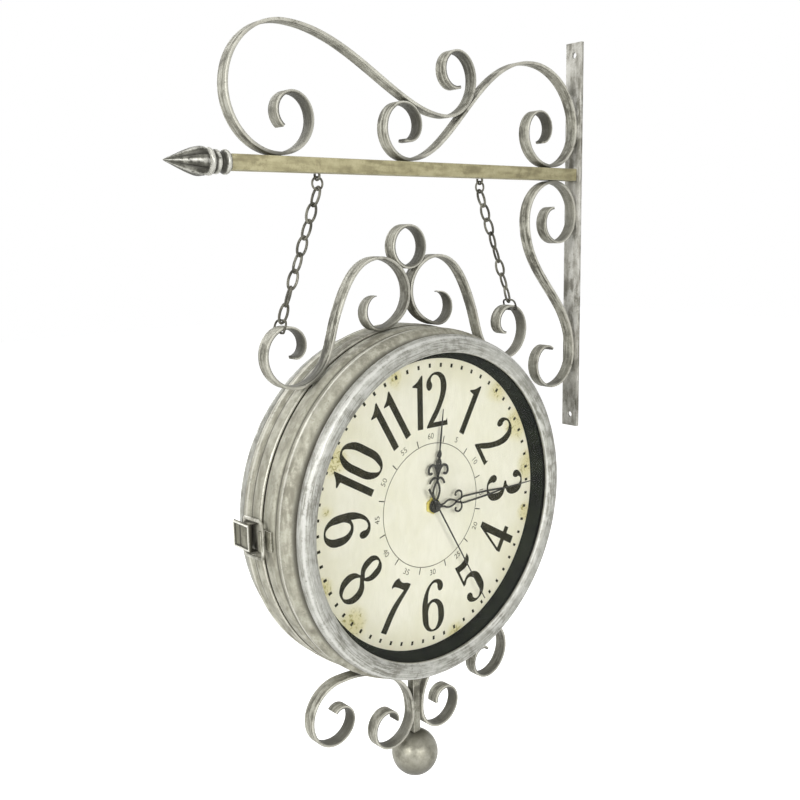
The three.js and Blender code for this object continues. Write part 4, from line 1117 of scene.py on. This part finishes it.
def makeCase(label, side):
    body = "front_case" if side < 0 else "clock"
    radius = drum["radius"] - (drum["doorStep"] if side < 0 else 0)
    seam = side * drum["seam"] + drum["seamGap"]
    bead, depth = case["bead"], case["beadDepth"]
    shoulder = case["shellDepth"] - 4
    line = rounded([
        (radius - 1.4, seam, 0),
        (radius - 0.2, seam + 1.2, 0.9),
        (radius, bead - 4.6, 1.8),
        (radius - depth, bead - 1.6, 1.6),
        (radius - 0.8 * depth, bead + 1.0, 1.2),
        (radius - 0.1, bead + 3.8, 1.6),
        (radius - 0.6, shoulder - 2.6, 2.4),
        (radius - 3.4, shoulder + 0.9, 2.0),
        (case["valley"], case["shellDepth"] - 0.9, 1.2),
        (case["valley"] - 1.5, case["shellDepth"], 0.5),
        (case["bezelRadius"] - case["flange"], case["shellDepth"], 0),
    ], 6)
    rims = [(radius - 0.4, seam + 0.7, 1.2), (radius, bead + 4.2, 2.2)]
    # Darker in the hollow before the bezel, in the bead's groove and along the seam: partly patina and partly painted
    # shade.
    dark = [(case["valley"], case["shellDepth"] - 0.6, 4.6), (radius - depth, bead - 0.8, 2.6)]
    dark.append((radius - 1.8, seam, 1.4))
    mesh = turned(f"{label}Shell", pressed(line, drum["sheet"]), side, wear=rims, grime=dark)
    settle(mesh, drumSilver, body, [f"{label}_shell"], f"{label}Shell")

    front = case["front"]
    roll = (front - case["shellDepth"]) / 2
    outer, opening = case["bezelRadius"], case["opening"]
    line = rounded([
        (outer - case["flange"], case["shellDepth"] + case["gap"], 0),
        (case["valley"] - 0.6, case["shellDepth"] + case["gap"], 0.5),
        (outer - 0.2, case["shellDepth"] + 2.6, 1.6),
        (outer + 0.2, front - 0.9 * roll, 1.4),
        (outer - 0.3 * roll, front - 0.28 * roll, 1.4),
        (outer - roll, front, 1.8),
        (opening + 0.5 * roll, front - 0.15 * roll, 1.2),
        (opening, front - 0.5 * roll, 1.2),
        (opening, case["lip"], 0),
    ])
    rims = [(outer - 0.3 * roll, front - 0.28 * roll, 2.6), (opening + 0.2, front - 0.45 * roll, 1.6)]
    # Darker where the bezel meets the shell's hollow and just inside its opening: partly patina and partly painted
    # shade.
    dark = [(case["valley"], case["shellDepth"], 4.8), (opening - 0.2, front - roll, 2.8)]
    mesh = turned(f"{label}Bezel", pressed(line, drum["sheet"]), side, wear=rims, grime=dark)
    settle(mesh, bezelSilver, body, [f"{label}_bezel"], f"{label}Bezel")

    near, far = case["glass"]
    edge = 0.3
    disc = [(0, near), (case["glassRadius"] - edge, near), (case["glassRadius"], near + edge)]
    disc += [(case["glassRadius"], far - edge), (case["glassRadius"] - edge, far), (0, far)]
    mesh = turned(f"{label}Glass", disc, side)
    settle(mesh, glassClear, body, [f"{label}_glass"], f"{label}Glass")

    back, face = case["dial"]
    inner, sheet = case["opening"] + 0.2, drum["sheet"]
    foot = inner - case["revealTaper"]
    start, stop = near - case["gap"], face + case["gap"]
    wall = [
        (inner, start), (case["glassRadius"], start), (case["glassRadius"], start - sheet),
        (inner + sheet, start - sheet), (foot + sheet, stop + sheet), (case["dialRadius"], stop + sheet),
        (case["dialRadius"], stop), (foot, stop),
    ]
    mesh = turned(f"{label}Reveal", wall, side)
    settle(mesh, revealPaint, body, [f"{label}_reveal"], f"{label}Reveal")

    hole = case["postHole"]
    edge = 0.15
    card = [(hole, back), (case["dialRadius"], back), (case["dialRadius"], face - edge)]
    card += [(case["dialRadius"] - edge, face), (hole + edge, face), (hole, face - edge)]
    mesh = turned(f"{label}DialCard", card, side)
    paper = dialFront if side < 0 else dialRear
    settle(mesh, paper, body, [f"{label}_dial"], f"{label}DialCard")


# From a drawing on the dial (right, up, outwards, in millimetres) to its place in metres.
def faceMatrix(side, height, turn=0.0):
    right = Vector((-side, 0, 0))
    out = Vector((0, side, 0))
    axes = Matrix((right, Vector((0, 0, 1)), out)).transposed().to_4x4()
    place = Matrix.Translation(Vector((drum["x"], side * height, drum["z"])) * mm)
    return place @ Matrix.Scale(mm, 4) @ axes @ Matrix.Rotation(-turn, 4, "Z")


for label, side in (("front", -1), ("rear", 1)):
    makeCase(label, side)
print("cases made")


# Numerals: outlines a hundred units high. A third number of 1 marks a sharp corner.
digits = {
    "1": [[(-24, 80.5, 1), (-14, 86), (-3, 97, 1), (0, 97, 1), (0, 0, 1), (-13, 0, 1), (-13, 76, 1), (-24, 78, 1)]],
    "2": [[
        (0, 80), (6, 92), (22, 100), (40, 95), (49, 78), (47, 60), (38, 40), (24, 18), (16, 9, 1), (30, 9, 1),
        (47, 9, 1), (50, 13, 1), (51, 0, 1), (0, 0, 1), (0, 3, 1), (10, 18), (24, 38), (33, 58), (35, 75), (32, 88),
        (22, 95), (14, 93), (11, 86), (14, 79), (12, 71), (7, 68), (2, 71),
    ]],
    "3": [[
        (1, 82), (7, 94), (23, 100), (41, 95), (48, 77), (43, 60), (31, 52, 1), (46, 43), (52, 26), (45, 7), (25, 0),
        (8, 5), (0, 17), (3, 26), (10, 28), (15, 22), (14, 13), (17, 6), (24, 4), (33, 9), (37, 26), (33, 42),
        (17, 50, 1), (17, 54, 1), (29, 60), (33, 76), (30, 91), (22, 96), (15, 91), (16, 83), (12, 75), (5, 75),
    ]],
    "4": [
        [(0, 22, 1), (25, 22, 1), (25, 0, 1), (40, 0, 1), (40, 22, 1), (52, 22, 1), (52, 33, 1), (40, 33, 1),
         (40, 100, 1), (29, 100, 1), (0, 31, 1)],
        [(6, 33, 1), (25, 78, 1), (25, 33, 1)],
    ],
    "5": [[
        (7, 98, 1), (22, 94), (36, 96), (46, 102, 1), (44, 88), (33, 80), (12, 82, 1), (11, 58, 1), (26, 63),
        (44, 55), (51, 32), (44, 8), (24, 0), (7, 6), (0, 18), (3, 27), (10, 28), (15, 22), (14, 12), (22, 4),
        (32, 9), (36, 30), (32, 50), (22, 56), (11, 49, 1), (6, 49, 1),
    ]],
    "6": [
        [(0, 44), (6, 76), (22, 96), (36, 100), (48, 95), (53, 85), (50, 77), (43, 76), (39, 83), (38, 91), (30, 94),
         (19, 84), (14, 58, 1), (26, 63), (44, 57), (55, 32), (47, 7), (28, 0), (8, 10)],
        [(15, 30), (16, 46), (25, 57), (35, 52), (40, 32), (36, 10), (28, 4), (19, 9)],
    ],
    "7": [[
        (0, 82, 1), (3, 94), (9, 101, 1), (20, 96), (34, 99, 1), (42, 99, 1), (42, 92, 1), (32, 48), (29, 0, 1),
        (15, 0, 1), (19, 48), (31, 84, 1), (14, 84), (5, 82), (3, 78, 1),
    ]],
    "8": [
        [(27, 100), (43, 94), (48, 77), (43, 61), (34, 53, 1), (48, 44), (54, 25), (45, 6), (27, 0), (9, 6), (0, 25),
         (6, 44), (20, 53, 1), (11, 61), (6, 77), (11, 94)],
        [(27, 96), (20, 90), (19, 77), (22, 64), (31, 57, 1), (35, 66), (35, 78), (33, 90)],
        [(23, 50, 1), (16, 40), (14, 25), (18, 10), (27, 4), (36, 10), (40, 24), (37, 38)],
    ],
    "0": [
        [(26, 100), (44, 90), (52, 50), (44, 10), (26, 0), (8, 10), (0, 50), (8, 90)],
        [(26, 96), (18, 86), (14, 50), (18, 14), (26, 4), (34, 14), (38, 50), (34, 86)],
    ],
}
digits["9"] = [[(54 - p[0], 100 - p[1], *p[2:]) for p in contour] for contour in digits["6"]]
numeral = {
    "height": 41.0,
    "radius": 79.5,
    "letterGap": 9,
    "print": 0.05,  # how far print stands on the paper
    "smallHeight": 4.4,
    "smallRadius": 52.6,
}


def outlineMesh(name, contours, thickness):
    data = bpy.data.curves.new(name, "CURVE")
    data.dimensions = "2D"
    data.fill_mode = "BOTH"
    data.extrude = thickness / 2
    data.resolution_u = 6
    for contour in contours:
        spline = data.splines.new("BEZIER")
        spline.bezier_points.add(len(contour) - 1)
        spline.use_cyclic_u = True
        for point, (x, y, *corner) in zip(spline.bezier_points, contour):
            point.co = (x, y, 0)
            kind = "VECTOR" if corner else "AUTO"
            point.handle_left_type = kind
            point.handle_right_type = kind
    return meshOfCurve(name, data)


def meshOfCurve(name, data):
    carrier = bpy.data.objects.new(name, data)
    scene.collection.objects.link(carrier)
    graph = bpy.context.evaluated_depsgraph_get()
    mesh = bpy.data.meshes.new_from_object(carrier.evaluated_get(graph), depsgraph=graph)
    bpy.data.objects.remove(carrier)
    build = bmesh.new()
    build.from_mesh(mesh)
    bmesh.ops.remove_doubles(build, verts=build.verts, dist=1e-5)
    build.to_mesh(mesh)
    build.free()
    return mesh


def numeralContours(word):
    contours, right = [], 0
    for letter in word:
        shapes = digits[letter]
        left = min(p[0] for shape in shapes for p in shape)
        wide = max(p[0] for shape in shapes for p in shape) - left
        contours += [[(p[0] - left + right, p[1], *p[2:]) for p in shape] for shape in shapes]
        right += wide + numeral["letterGap"]
    middle = (right - numeral["letterGap"]) / 2
    scale = numeral["height"] / 100
    return [[((p[0] - middle) * scale, (p[1] - 50) * scale, *p[2:]) for p in shape] for shape in contours]


def ringTurn(hour):
    turn = math.radians(30 * hour)
    return turn, math.pi if 4 <= hour <= 8 else 0.0


def makeDialPrint(label, side):
    body = "front_case" if side < 0 else "clock"
    height = case["dial"][1] + numeral["print"] / 2 + 0.01
    parts = []
    for hour in range(1, 13):
        turn, flip = ringTurn(hour)
        mesh = outlineMesh(f"numeral{hour}", numeralContours(str(hour)), numeral["print"])
        out = Matrix.Translation((0, numeral["radius"], 0))
        mesh.transform(faceMatrix(side, height, turn) @ out @ Matrix.Rotation(flip, 4, "Z"))
        parts.append(mesh)
    mesh = joined(f"{label}Numerals", parts)
    settle(mesh, numeralInk, body, [], f"{label}Numerals")

    marks = []
    for count, radius, long, wide, start in ((60, 105.3, 3.0, 2.1, 0), (12, 50.2, 5.0, 0.8, math.pi / 12)):
        values = {
            "Count": count,
            "Radius": float(radius),
            "Long": long,
            "Wide": wide,
            "High": numeral["print"],
            "Start": start,
            "Material": numeralInk,
        }
        source = bpy.data.meshes.new("marks")
        mesh = grown("marks", source, markTree, values)
        mesh.transform(faceMatrix(side, height))
        marks.append(mesh)
    mesh = joined(f"{label}Marks", marks)
    settle(mesh, numeralInk, body, [], f"{label}Marks")

    fine = []
    half = numeral["print"] / 2
    line = [(46.9, -half), (47.5, -half), (47.5, half), (46.9, half)]
    mesh = turned("circle", line, 1, centre=(0, 0), segments=120)
    mesh.transform(Matrix.Scale(1 / mm, 4))
    mesh.transform(faceMatrix(side, height) @ Matrix.Rotation(math.pi / 2, 4, "X"))
    fine.append(mesh)
    for hour in range(1, 13):
        data = bpy.data.curves.new("minutes", "FONT")
        data.body = str(5 * hour)
        data.size = numeral["smallHeight"] / 0.7
        data.extrude = half
        data.align_x = "CENTER"
        data.align_y = "CENTER"
        data.resolution_u = 3
        mesh = meshOfCurve("minutes", data)
        turn, flip = ringTurn(hour)
        out = Matrix.Translation((0, numeral["smallRadius"], 0))
        mesh.transform(faceMatrix(side, height, turn) @ out @ Matrix.Rotation(flip, 4, "Z"))
        fine.append(mesh)
    mesh = joined(f"{label}FinePrint", fine)
    settle(mesh, paleInk, body, [], f"{label}FinePrint")


for label, side in (("front", -1), ("rear", 1)):
    makeDialPrint(label, side)
print("dial print made")


# Hands, drawn pointing up, as strokes of flat metal round a hub.
hands = {
    "thickness": 0.6,
    "step": 0.5,
    "planes": {"hour": 27.7, "minute": 29.4, "second": 31.1},
    "turns": {"hour": 7.5, "minute": 90.0, "second": 150.0},
    "tubes": {"hour": 2.6, "minute": 1.6, "second": 0.7},
    "tubeBack": 18.2,
}
hourStrokes = [
    (1.8, [(0.8, 4), (2.4, 7.4), (3.2, 11.5), (2.2, 15.5), (0.4, 18.6), (0, 20)]),
    (1.7, [(0, 19.6), (1.6, 21.4), (4.2, 21.2), (6.6, 19.0), (7.4, 17.2)]),
    (1.9, [(0, 21.6), (1.0, 25.5), (2.4, 29.0), (5.0, 31.3), (8.2, 30.4), (9.7, 27.4), (8.6, 24.8), (6.6, 24.7)]),
    (1.5, [(0.2, 28.5), (1.9, 31.4), (1.5, 34.2), (0, 36.4)]),
    (1.2, [(0, 36.2), (1.5, 38.4), (0.9, 40.9), (0, 42.4)]),
]
minuteStrokes = [
    (1.4, [(0.6, 3.6), (1.1, 7.6), (2.5, 10.6), (2.7, 14.4), (1.4, 18.4), (0.2, 20.4)]),
    (1.4, [(0, 19.8), (1.6, 24.6), (2.5, 28.2), (2.4, 34), (2.0, 46), (1.4, 58), (0.3, 71)]),
    (1.5, [(0.4, 24.4), (3.4, 25.9), (6.6, 25.4), (8.1, 22.6), (7.0, 19.6), (5.2, 19.2)]),
]


def smoothed(points, steps=7):
    path = []
    for i in range(len(points) - 1):
        p0 = Vector(points[max(i - 1, 0)])
        p1, p2 = Vector(points[i]), Vector(points[i + 1])
        p3 = Vector(points[min(i + 2, len(points) - 1)])
        for j in range(steps):
            t = j / steps
            path.append(
                0.5 * (2 * p1 + (p2 - p0) * t + (2 * p0 - 5 * p1 + 4 * p2 - p3) * t * t
                       + (3 * p1 - p0 - 3 * p2 + p3) * t ** 3)
            )
    path.append(Vector(points[-1]))
    return path


def strokeMesh(width, points):
    path = smoothed(points)
    mesh = bpy.data.meshes.new("stroke")
    edges = [(i, i + 1) for i in range(len(path) - 1)]
    mesh.from_pydata([(point.x, point.y, 0) for point in path], edges, [])
    values = {
        "Width": hands["thickness"],
        "Thickness": float(width),
        "Edge": 0.12,
        "Normal": (0.0, 0.0, 1.0),
        "Step": hands["step"],
        "Taper": 0.0,
        "Material": blackPaint,
    }
    return grown("stroke", mesh, stripTree, values)


def prism(points, low, high):
    count = len(points)
    corners = [(x, y, low) for x, y in points] + [(x, y, high) for x, y in points]
    faces = [tuple(range(count)), tuple(range(count, 2 * count))]
    faces += [(i, (i + 1) % count, count + (i + 1) % count, count + i) for i in range(count)]
    return meshFrom("prism", corners, faces, 1e-4)


def roundPrism(radius, low, high, place=(0, 0), sides=28, dome=0.0):
    rim = 0.12
    profile = [(0, low), (radius, low), (radius, high - rim), (radius - rim, high), (0, high + dome)]
    mesh = turned("round", profile, 1, centre=(0, 0), segments=sides)
    mesh.transform(Matrix.Scale(1 / mm, 4))
    mesh.transform(Matrix.Translation((place[0], place[1], 0)) @ Matrix.Rotation(math.pi / 2, 4, "X"))
    return mesh


def makeHand(label, side, kind):
    half = hands["thickness"] / 2
    plane = hands["planes"][kind] + half
    back = hands["tubeBack"] - plane
    parts = [roundPrism(hands["tubes"][kind], back, half)]
    if kind == "hour":
        parts.append(roundPrism(5.0, -half, half))
        for width, points in hourStrokes:
            for way in (1, -1):
                parts.append(strokeMesh(width, [(way * x, y) for x, y in points]))
        parts += [roundPrism(0.95, -half, half, (way * 6.4, 24.9), 16) for way in (1, -1)]
        parts.append(prism([(-0.55, 18), (0.55, 18), (0.5, 42), (0.75, 50), (0.2, 73), (-0.2, 73), (-0.75, 50),
                            (-0.5, 42)], -half, half))
    elif kind == "minute":
        parts.append(roundPrism(4.2, -half, half))
        for width, points in minuteStrokes:
            for way in (1, -1):
                parts.append(strokeMesh(width, [(way * x, y) for x, y in points]))
        parts += [roundPrism(0.85, -half, half, (way * 5.1, 19.6), 16) for way in (1, -1)]
        parts.append(prism([(-0.7, 68), (0.7, 68), (0.3, 104), (-0.3, 104)], -half, half))
    else:
        parts.append(roundPrism(2.5, -half, half, dome=0.35))
        parts.append(prism([(-0.9, -18), (0.9, -18), (0.6, 0), (0.3, 98), (-0.3, 98), (-0.6, 0)], -half, half))
    mesh = joined(f"{label}_{kind}", parts)
    mesh.transform(faceMatrix(side, plane, math.radians(hands["turns"][kind])))
    node = f"{label}_{kind}_hand"
    settle(mesh, blackPaint, f"{label}_{kind}", [node], f"{label}_{kind}Hand")


for label, side in (("front", -1), ("rear", 1)):
    for kind in ("hour", "minute", "second"):
        makeHand(label, side, kind)
print("hands made")


# Parts that keep the solid's own shape, with rounded and rubbed edges.
kept = (
    # node, rounding in mm, material, body, slot
    ("wall_plate", 0.5, agedSilver, "bracket", "aged_silver"),
    ("arm_tube", 0.8, paleArm, "bracket", "pale_arm"),
    ("bottom_rod", 0.6, stripSilver, "clock", "aged_silver"),
    ("hinge_leaf_rear", 0.25, darkSteel, "clock", "dark_steel"),
    ("hinge_leaf_front", 0.25, darkSteel, "front_case", "dark_steel"),
    ("hinge_pin", 0.3, brightSilver, "clock", "bright_silver"),
    ("latch_keeper", 0.25, latchSilver, "front_case", "dark_steel"),
)
inside = (
    ("movement", 0.8, blackPlastic, None, "black_plastic"),
    ("movement_nut", 0.25, brass, None, "brass"),
    ("battery", 0.5, cellWrap, None, "battery_grey"),
    ("set_knob", 0.4, blackPlastic, "knob", "black_plastic"),
)


def makeKept():
    for node, width, material, body, slot in kept:
        softened(node, width, material, body)
    for label, side in (("front", -1), ("rear", 1)):
        for node, width, material, body, slot in inside:
            home = "front_case" if side < 0 else "clock"
            softened(f"{label}_{node}", width, material, f"{label}_knob" if body else home)


makeKept()
print("plain parts softened")


# The cast bud at the arm's end: beads and a collar, then petals that close to a point.
finial = {
    "start": -338.3,
    "reach": 44.0,
    "radius": 9.0,
    "petals": 6,
    "segments": 96,
    "spigot": (12.0, 3.5),
}


def makeFinial():
    r, f = finial["radius"], finial["reach"]
    line = rounded([
        (0, 0, 0), (0.7 * r, 0, 0.3), (0.86 * r, 0.03 * f, 0.8), (0.86 * r, 0.07 * f, 0.8), (0.62 * r, 0.12 * f, 0.9),
        (0.62 * r, 0.15 * f, 0.5), (0.84 * r, 0.18 * f, 0.7), (0.84 * r, 0.22 * f, 0.7), (0.7 * r, 0.26 * f, 0.8),
        (0.95 * r, 0.29 * f, 0.8), (0.95 * r, 0.33 * f, 0.6), (0.84 * r, 0.35 * f, 0.4),
    ], 5)
    bud = [(0.86, 0.36), (0.96, 0.40), (1.0, 0.45), (0.97, 0.51), (0.89, 0.57), (0.79, 0.63), (0.68, 0.69),
           (0.56, 0.75), (0.44, 0.81), (0.31, 0.87), (0.18, 0.93), (0.07, 0.98), (0, 1.0)]
    line += [(point.x * r, point.y * f) for point in smoothed(bud, 3)]
    budStart = 0.36 * f
    count, segments = len(line), finial["segments"]
    points, faces, wear = [], [], []
    for i in range(segments):
        angle = 2 * math.pi * i / segments
        for radius, along in line:
            share = max(0.0, (along - budStart) / (f - budStart))
            ridge = abs(math.cos(finial["petals"] * angle / 2))
            tip = 0.5 + 0.5 * math.cos(finial["petals"] * angle)
            swell = 1.0
            if share > 0:
                over = 1.0 if share < 0.3 + 0.45 * tip else 0.0
                swell = 0.86 + 0.14 * ridge ** 0.6 + 0.05 * over * (1 - share)
            points.append((finial["start"] - along, radius * swell * math.cos(angle), radius * swell * math.sin(angle)))
        for j in range(count - 1):
            a, b = i * count + j, i * count + j + 1
            faces.append((a, b, (b + count) % (segments * count), (a + count) % (segments * count)))
    mesh = meshFrom("finial", points, faces, 0.0005)
    wear = mesh.attributes.new("wear", "FLOAT", "POINT")
    # Darker between the petals and in the hollows between the collar's beads.
    grime = mesh.attributes.new("grime", "FLOAT", "POINT")
    for i, vert in enumerate(mesh.vertices):
        radius = math.hypot(vert.co.y, vert.co.z)
        onBud = finial["start"] - vert.co.x > budStart + 0.5
        ridge = abs(math.cos(finial["petals"] * math.atan2(vert.co.z, vert.co.y) / 2))
        raised = 0.7 * ridge ** 3 if onBud else (radius - 0.72 * r) / (0.16 * r)
        wear.data[i].value = max(0.0, min(1.0, raised))
        grime.data[i].value = max(0.0, min(1.0, 1.3 - 2.2 * ridge if onBud else 1.2 - raised * 2))
    long, half = finial["spigot"]
    spigot = [(half, half), (-half, half), (-half, -half), (half, -half)]
    bar = prism(spigot, 0, long)
    bar.transform(Matrix.Translation((finial["start"], 0, 0)) @ Matrix.Rotation(math.pi / 2, 4, "Y"))
    whole = joined("armFinial", [mesh, bar])
    whole.transform(Matrix.Scale(mm, 4))
    settle(whole, castSilver, "bracket", ["arm_finial"], "armFinial")


ball = {"radius": 18.5, "rodDepth": 192.6, "rodSize": 7.0}


def makeBall():
    radius = ball["radius"]
    seat = math.sqrt(radius ** 2 - ball["rodSize"] ** 2 / 2)
    middle = -drum["radius"] - 0.6 - 58 - seat
    profile = [(0, middle + seat)]
    first = math.asin(seat / radius)
    for i in range(49):
        angle = first - (first + math.pi / 2) * i / 48
        profile.append((radius * math.cos(angle), middle + radius * math.sin(angle)))
    mesh = turned("ball", profile, 1, centre=(0, 0), segments=96)
    # Painted shade: darker towards the bottom of the ball and next to the rod above it, lightest a little above its
    # middle.
    grime = mesh.attributes.new("grime", "FLOAT", "POINT")
    for vert, value in zip(mesh.vertices, grime.data):
        height = (abs(vert.co.y) - abs(middle) * mm) / (radius * mm)
        value.value = max(0.0, 0.9 * height + 0.25, -4 * (height + 0.8))
    mesh.transform(Matrix.Translation((drum["x"] * mm, 0, drum["z"] * mm)) @ Matrix.Rotation(math.pi / 2, 4, "X"))
    settle(mesh, ballSilver, "clock", ["bottom_ball"], "ball")


makeFinial()
makeBall()
print("finial and ball made")


# The latch's base, lever and wire loop, and rivets on the hinge leaves.
latch = {
    "pivotX": -138.6,
    "loopPivotY": 13.0,
    "crossX": -137.0,
    "crossY": -6.0,
    "loopHeight": 29.0,
    "wire": 2.4,
    "pivotY": 8.0,
    "leverFront": 4.4,
    "baseFace": -134.3,
    "baseSheet": 1.0,
    "baseSpan": (3.0, 22.0),
    "earSheet": 1.2,
    "pinHalf": 11.0,
    "leverHalf": 9.5,
    "leverBack": 24.0,
    "leverSheet": 0.9,
    "rimWidth": 2.0,
    "rimHeight": 1.3,
    "crease": 16.0,
}


# The lever's plate is pressed: a raised rim all round it and a crease down its middle.
def makeLever():
    low, high = latch["leverFront"], latch["leverBack"]
    half, rim = latch["leverHalf"], latch["rimWidth"]
    rows, columns = 38, 46
    back = latch["pivotX"] - 1.2
    points, faces = [], []
    for layer in range(2):
        for i in range(rows + 1):
            y = low + (high - low) * i / rows
            for j in range(columns + 1):
                z = half * (2 * j / columns - 1)
                inside = min(half - abs(z), high - y, y - low + 0.6)
                lift = latch["rimHeight"] * math.sin(math.pi * min(inside / rim, 1.0)) ** 0.8
                crease = max(0.0, 1 - abs(y - latch["crease"]) / 0.8) * (1.0 if inside > rim else 0.0)
                sheet = latch["leverSheet"] + (lift if inside < rim else 0.0) - 0.5 * crease
                points.append((drum["x"] + back - layer * sheet, y, drum["z"] + z))
    layerSize = (rows + 1) * (columns + 1)
    for i in range(rows):
        for j in range(columns):
            a = i * (columns + 1) + j
            quad = (a, a + 1, a + columns + 2, a + columns + 1)
            faces.append(quad)
            faces.append(tuple(corner + layerSize for corner in reversed(quad)))
    rim = [j for j in range(columns)] + [i * (columns + 1) + columns for i in range(rows)]
    rim += [rows * (columns + 1) + j for j in range(columns, 0, -1)] + [i * (columns + 1) for i in range(rows, 0, -1)]
    for here, after in zip(rim, rim[1:] + rim[:1]):
        faces.append((here, after, after + layerSize, here + layerSize))
    parts = [meshFrom("plate", points, faces, 1e-4)]
    rods = (
        (latch["pivotX"], latch["pivotY"], 1.9, half),
        (latch["pivotX"], latch["pivotY"], 1.0, latch["pinHalf"]),
        (latch["pivotX"], latch["loopPivotY"], 1.7, half),
    )
    for x, y, radius, reach in rods:
        rod = roundPrism(radius, -reach, reach, (0, 0), 24)
        rod.transform(Matrix.Translation((drum["x"] + x, y, drum["z"])))
        parts.append(rod)
    whole = joined("latchLever", parts)
    wear = whole.attributes.new("wear", "FLOAT", "POINT")
    # Darker at the foot of the raised rim, along the crease, over the flat of the plate and most on its inner face and
    # the rods: partly dirt and partly painted shade.
    grime = whole.attributes.new("grime", "FLOAT", "POINT")
    for i, vert in enumerate(whole.vertices):
        raised = (drum["x"] + back - 1.2 - vert.co.x) / 0.9
        inside = min(half - abs(vert.co.z - drum["z"]), high - vert.co.y, vert.co.y - low)
        nearRim = 1 - abs(inside - latch["rimWidth"]) / 0.9
        nearCrease = (1.3 - abs(vert.co.y - latch["crease"])) / 0.8
        wear.data[i].value = max(0.0, min(1.0, raised))
        grime.data[i].value = max(0.0, min(1.0, max(nearRim, nearCrease if inside > 2 else 0.0, -raised)))
    whole.transform(Matrix.Scale(mm, 4))
    settle(whole, latchSilver, "lever", ["latch_lever"], "latchLever")


# The base: two rails with the lever's pin between them, and a plate behind the lever's front end.
def makeLatchBase():
    front, back = latch["baseSpan"]
    face, half = latch["baseFace"], latch["pinHalf"]
    lift = latch["pivotX"] - 2.0
    rail = rounded([
        (face, front, 0), (face - 1.6, front, 0.8), (lift, latch["pivotY"] - 2.4, 1.6),
        (lift, latch["pivotY"] + 2.4, 1.6), (face - 1.4, back - 1.0, 2.0), (face, back, 0),
    ], 5)
    parts = []
    for low in (-half, half - latch["earSheet"]):
        parts.append(prism(rail, low, low + latch["earSheet"]))
    sheet = face - latch["baseSheet"]
    inner = half - latch["earSheet"] + 0.1
    floor = [(face, latch["pivotY"] + 4.0), (face, back), (sheet, back), (sheet, latch["pivotY"] + 4.0)]
    parts.append(prism(floor, -inner, inner))
    whole = joined("latchBase", parts)
    whole.transform(Matrix.Translation((drum["x"], 0, drum["z"])))
    whole.transform(Matrix.Scale(mm, 4))
    settle(whole, darkSteel, "clock", ["latch_base"], "latchBase")


def makeLoop():
    outer = latch["loopHeight"] / 2 - latch["wire"] / 2
    inner = latch["leverHalf"] - 2
    path = rounded([
        (latch["loopPivotY"], inner, 0), (latch["loopPivotY"], outer, 1.6), (latch["crossY"], outer, 4.0),
        (latch["crossY"], -outer, 4.0), (latch["loopPivotY"], -outer, 1.6), (latch["loopPivotY"], -inner, 0),
    ], 8)
    span = latch["loopPivotY"] - latch["crossY"]
    points = []
    for y, z in path:
        share = (y - latch["crossY"]) / span
        x = latch["crossX"] + (latch["pivotX"] - latch["crossX"]) * share
        points.append((drum["x"] + x, y, drum["z"] + z))
    mesh = wireMesh("latchLoop", points, latch["wire"], latchSilver)
    settle(mesh, brightSilver, "loop", ["latch_loop"], "latchLoop")


def makeRivets(name, places, turn, material, body, radius=1.5, rise=0.8):
    source = bpy.data.meshes.new(name)
    source.from_pydata([Vector(place) * mm for place in places], [], [])
    values = {"Radius": radius * mm, "Rise": rise * mm, "Turn": turn, "Material": material}
    mesh = grown(name, source, rivetTree, values)
    settle(mesh, material, body, [], name)


makeLatchBase()
makeLever()
makeLoop()
x, z = drum["x"], drum["z"]
quarter = (0.0, math.pi / 2, 0.0)
makeRivets("rearHingeRivets", [(x + 135.4, 11.5, z + h) for h in (-13, 0, 13)], quarter, darkSteel, "clock")
makeRivets("frontHingeRivets", [(x + 135.4, -9.5, z + h) for h in (-13, 0, 13)], quarter, darkSteel, "front_case")
print("latch loop and rivets made")
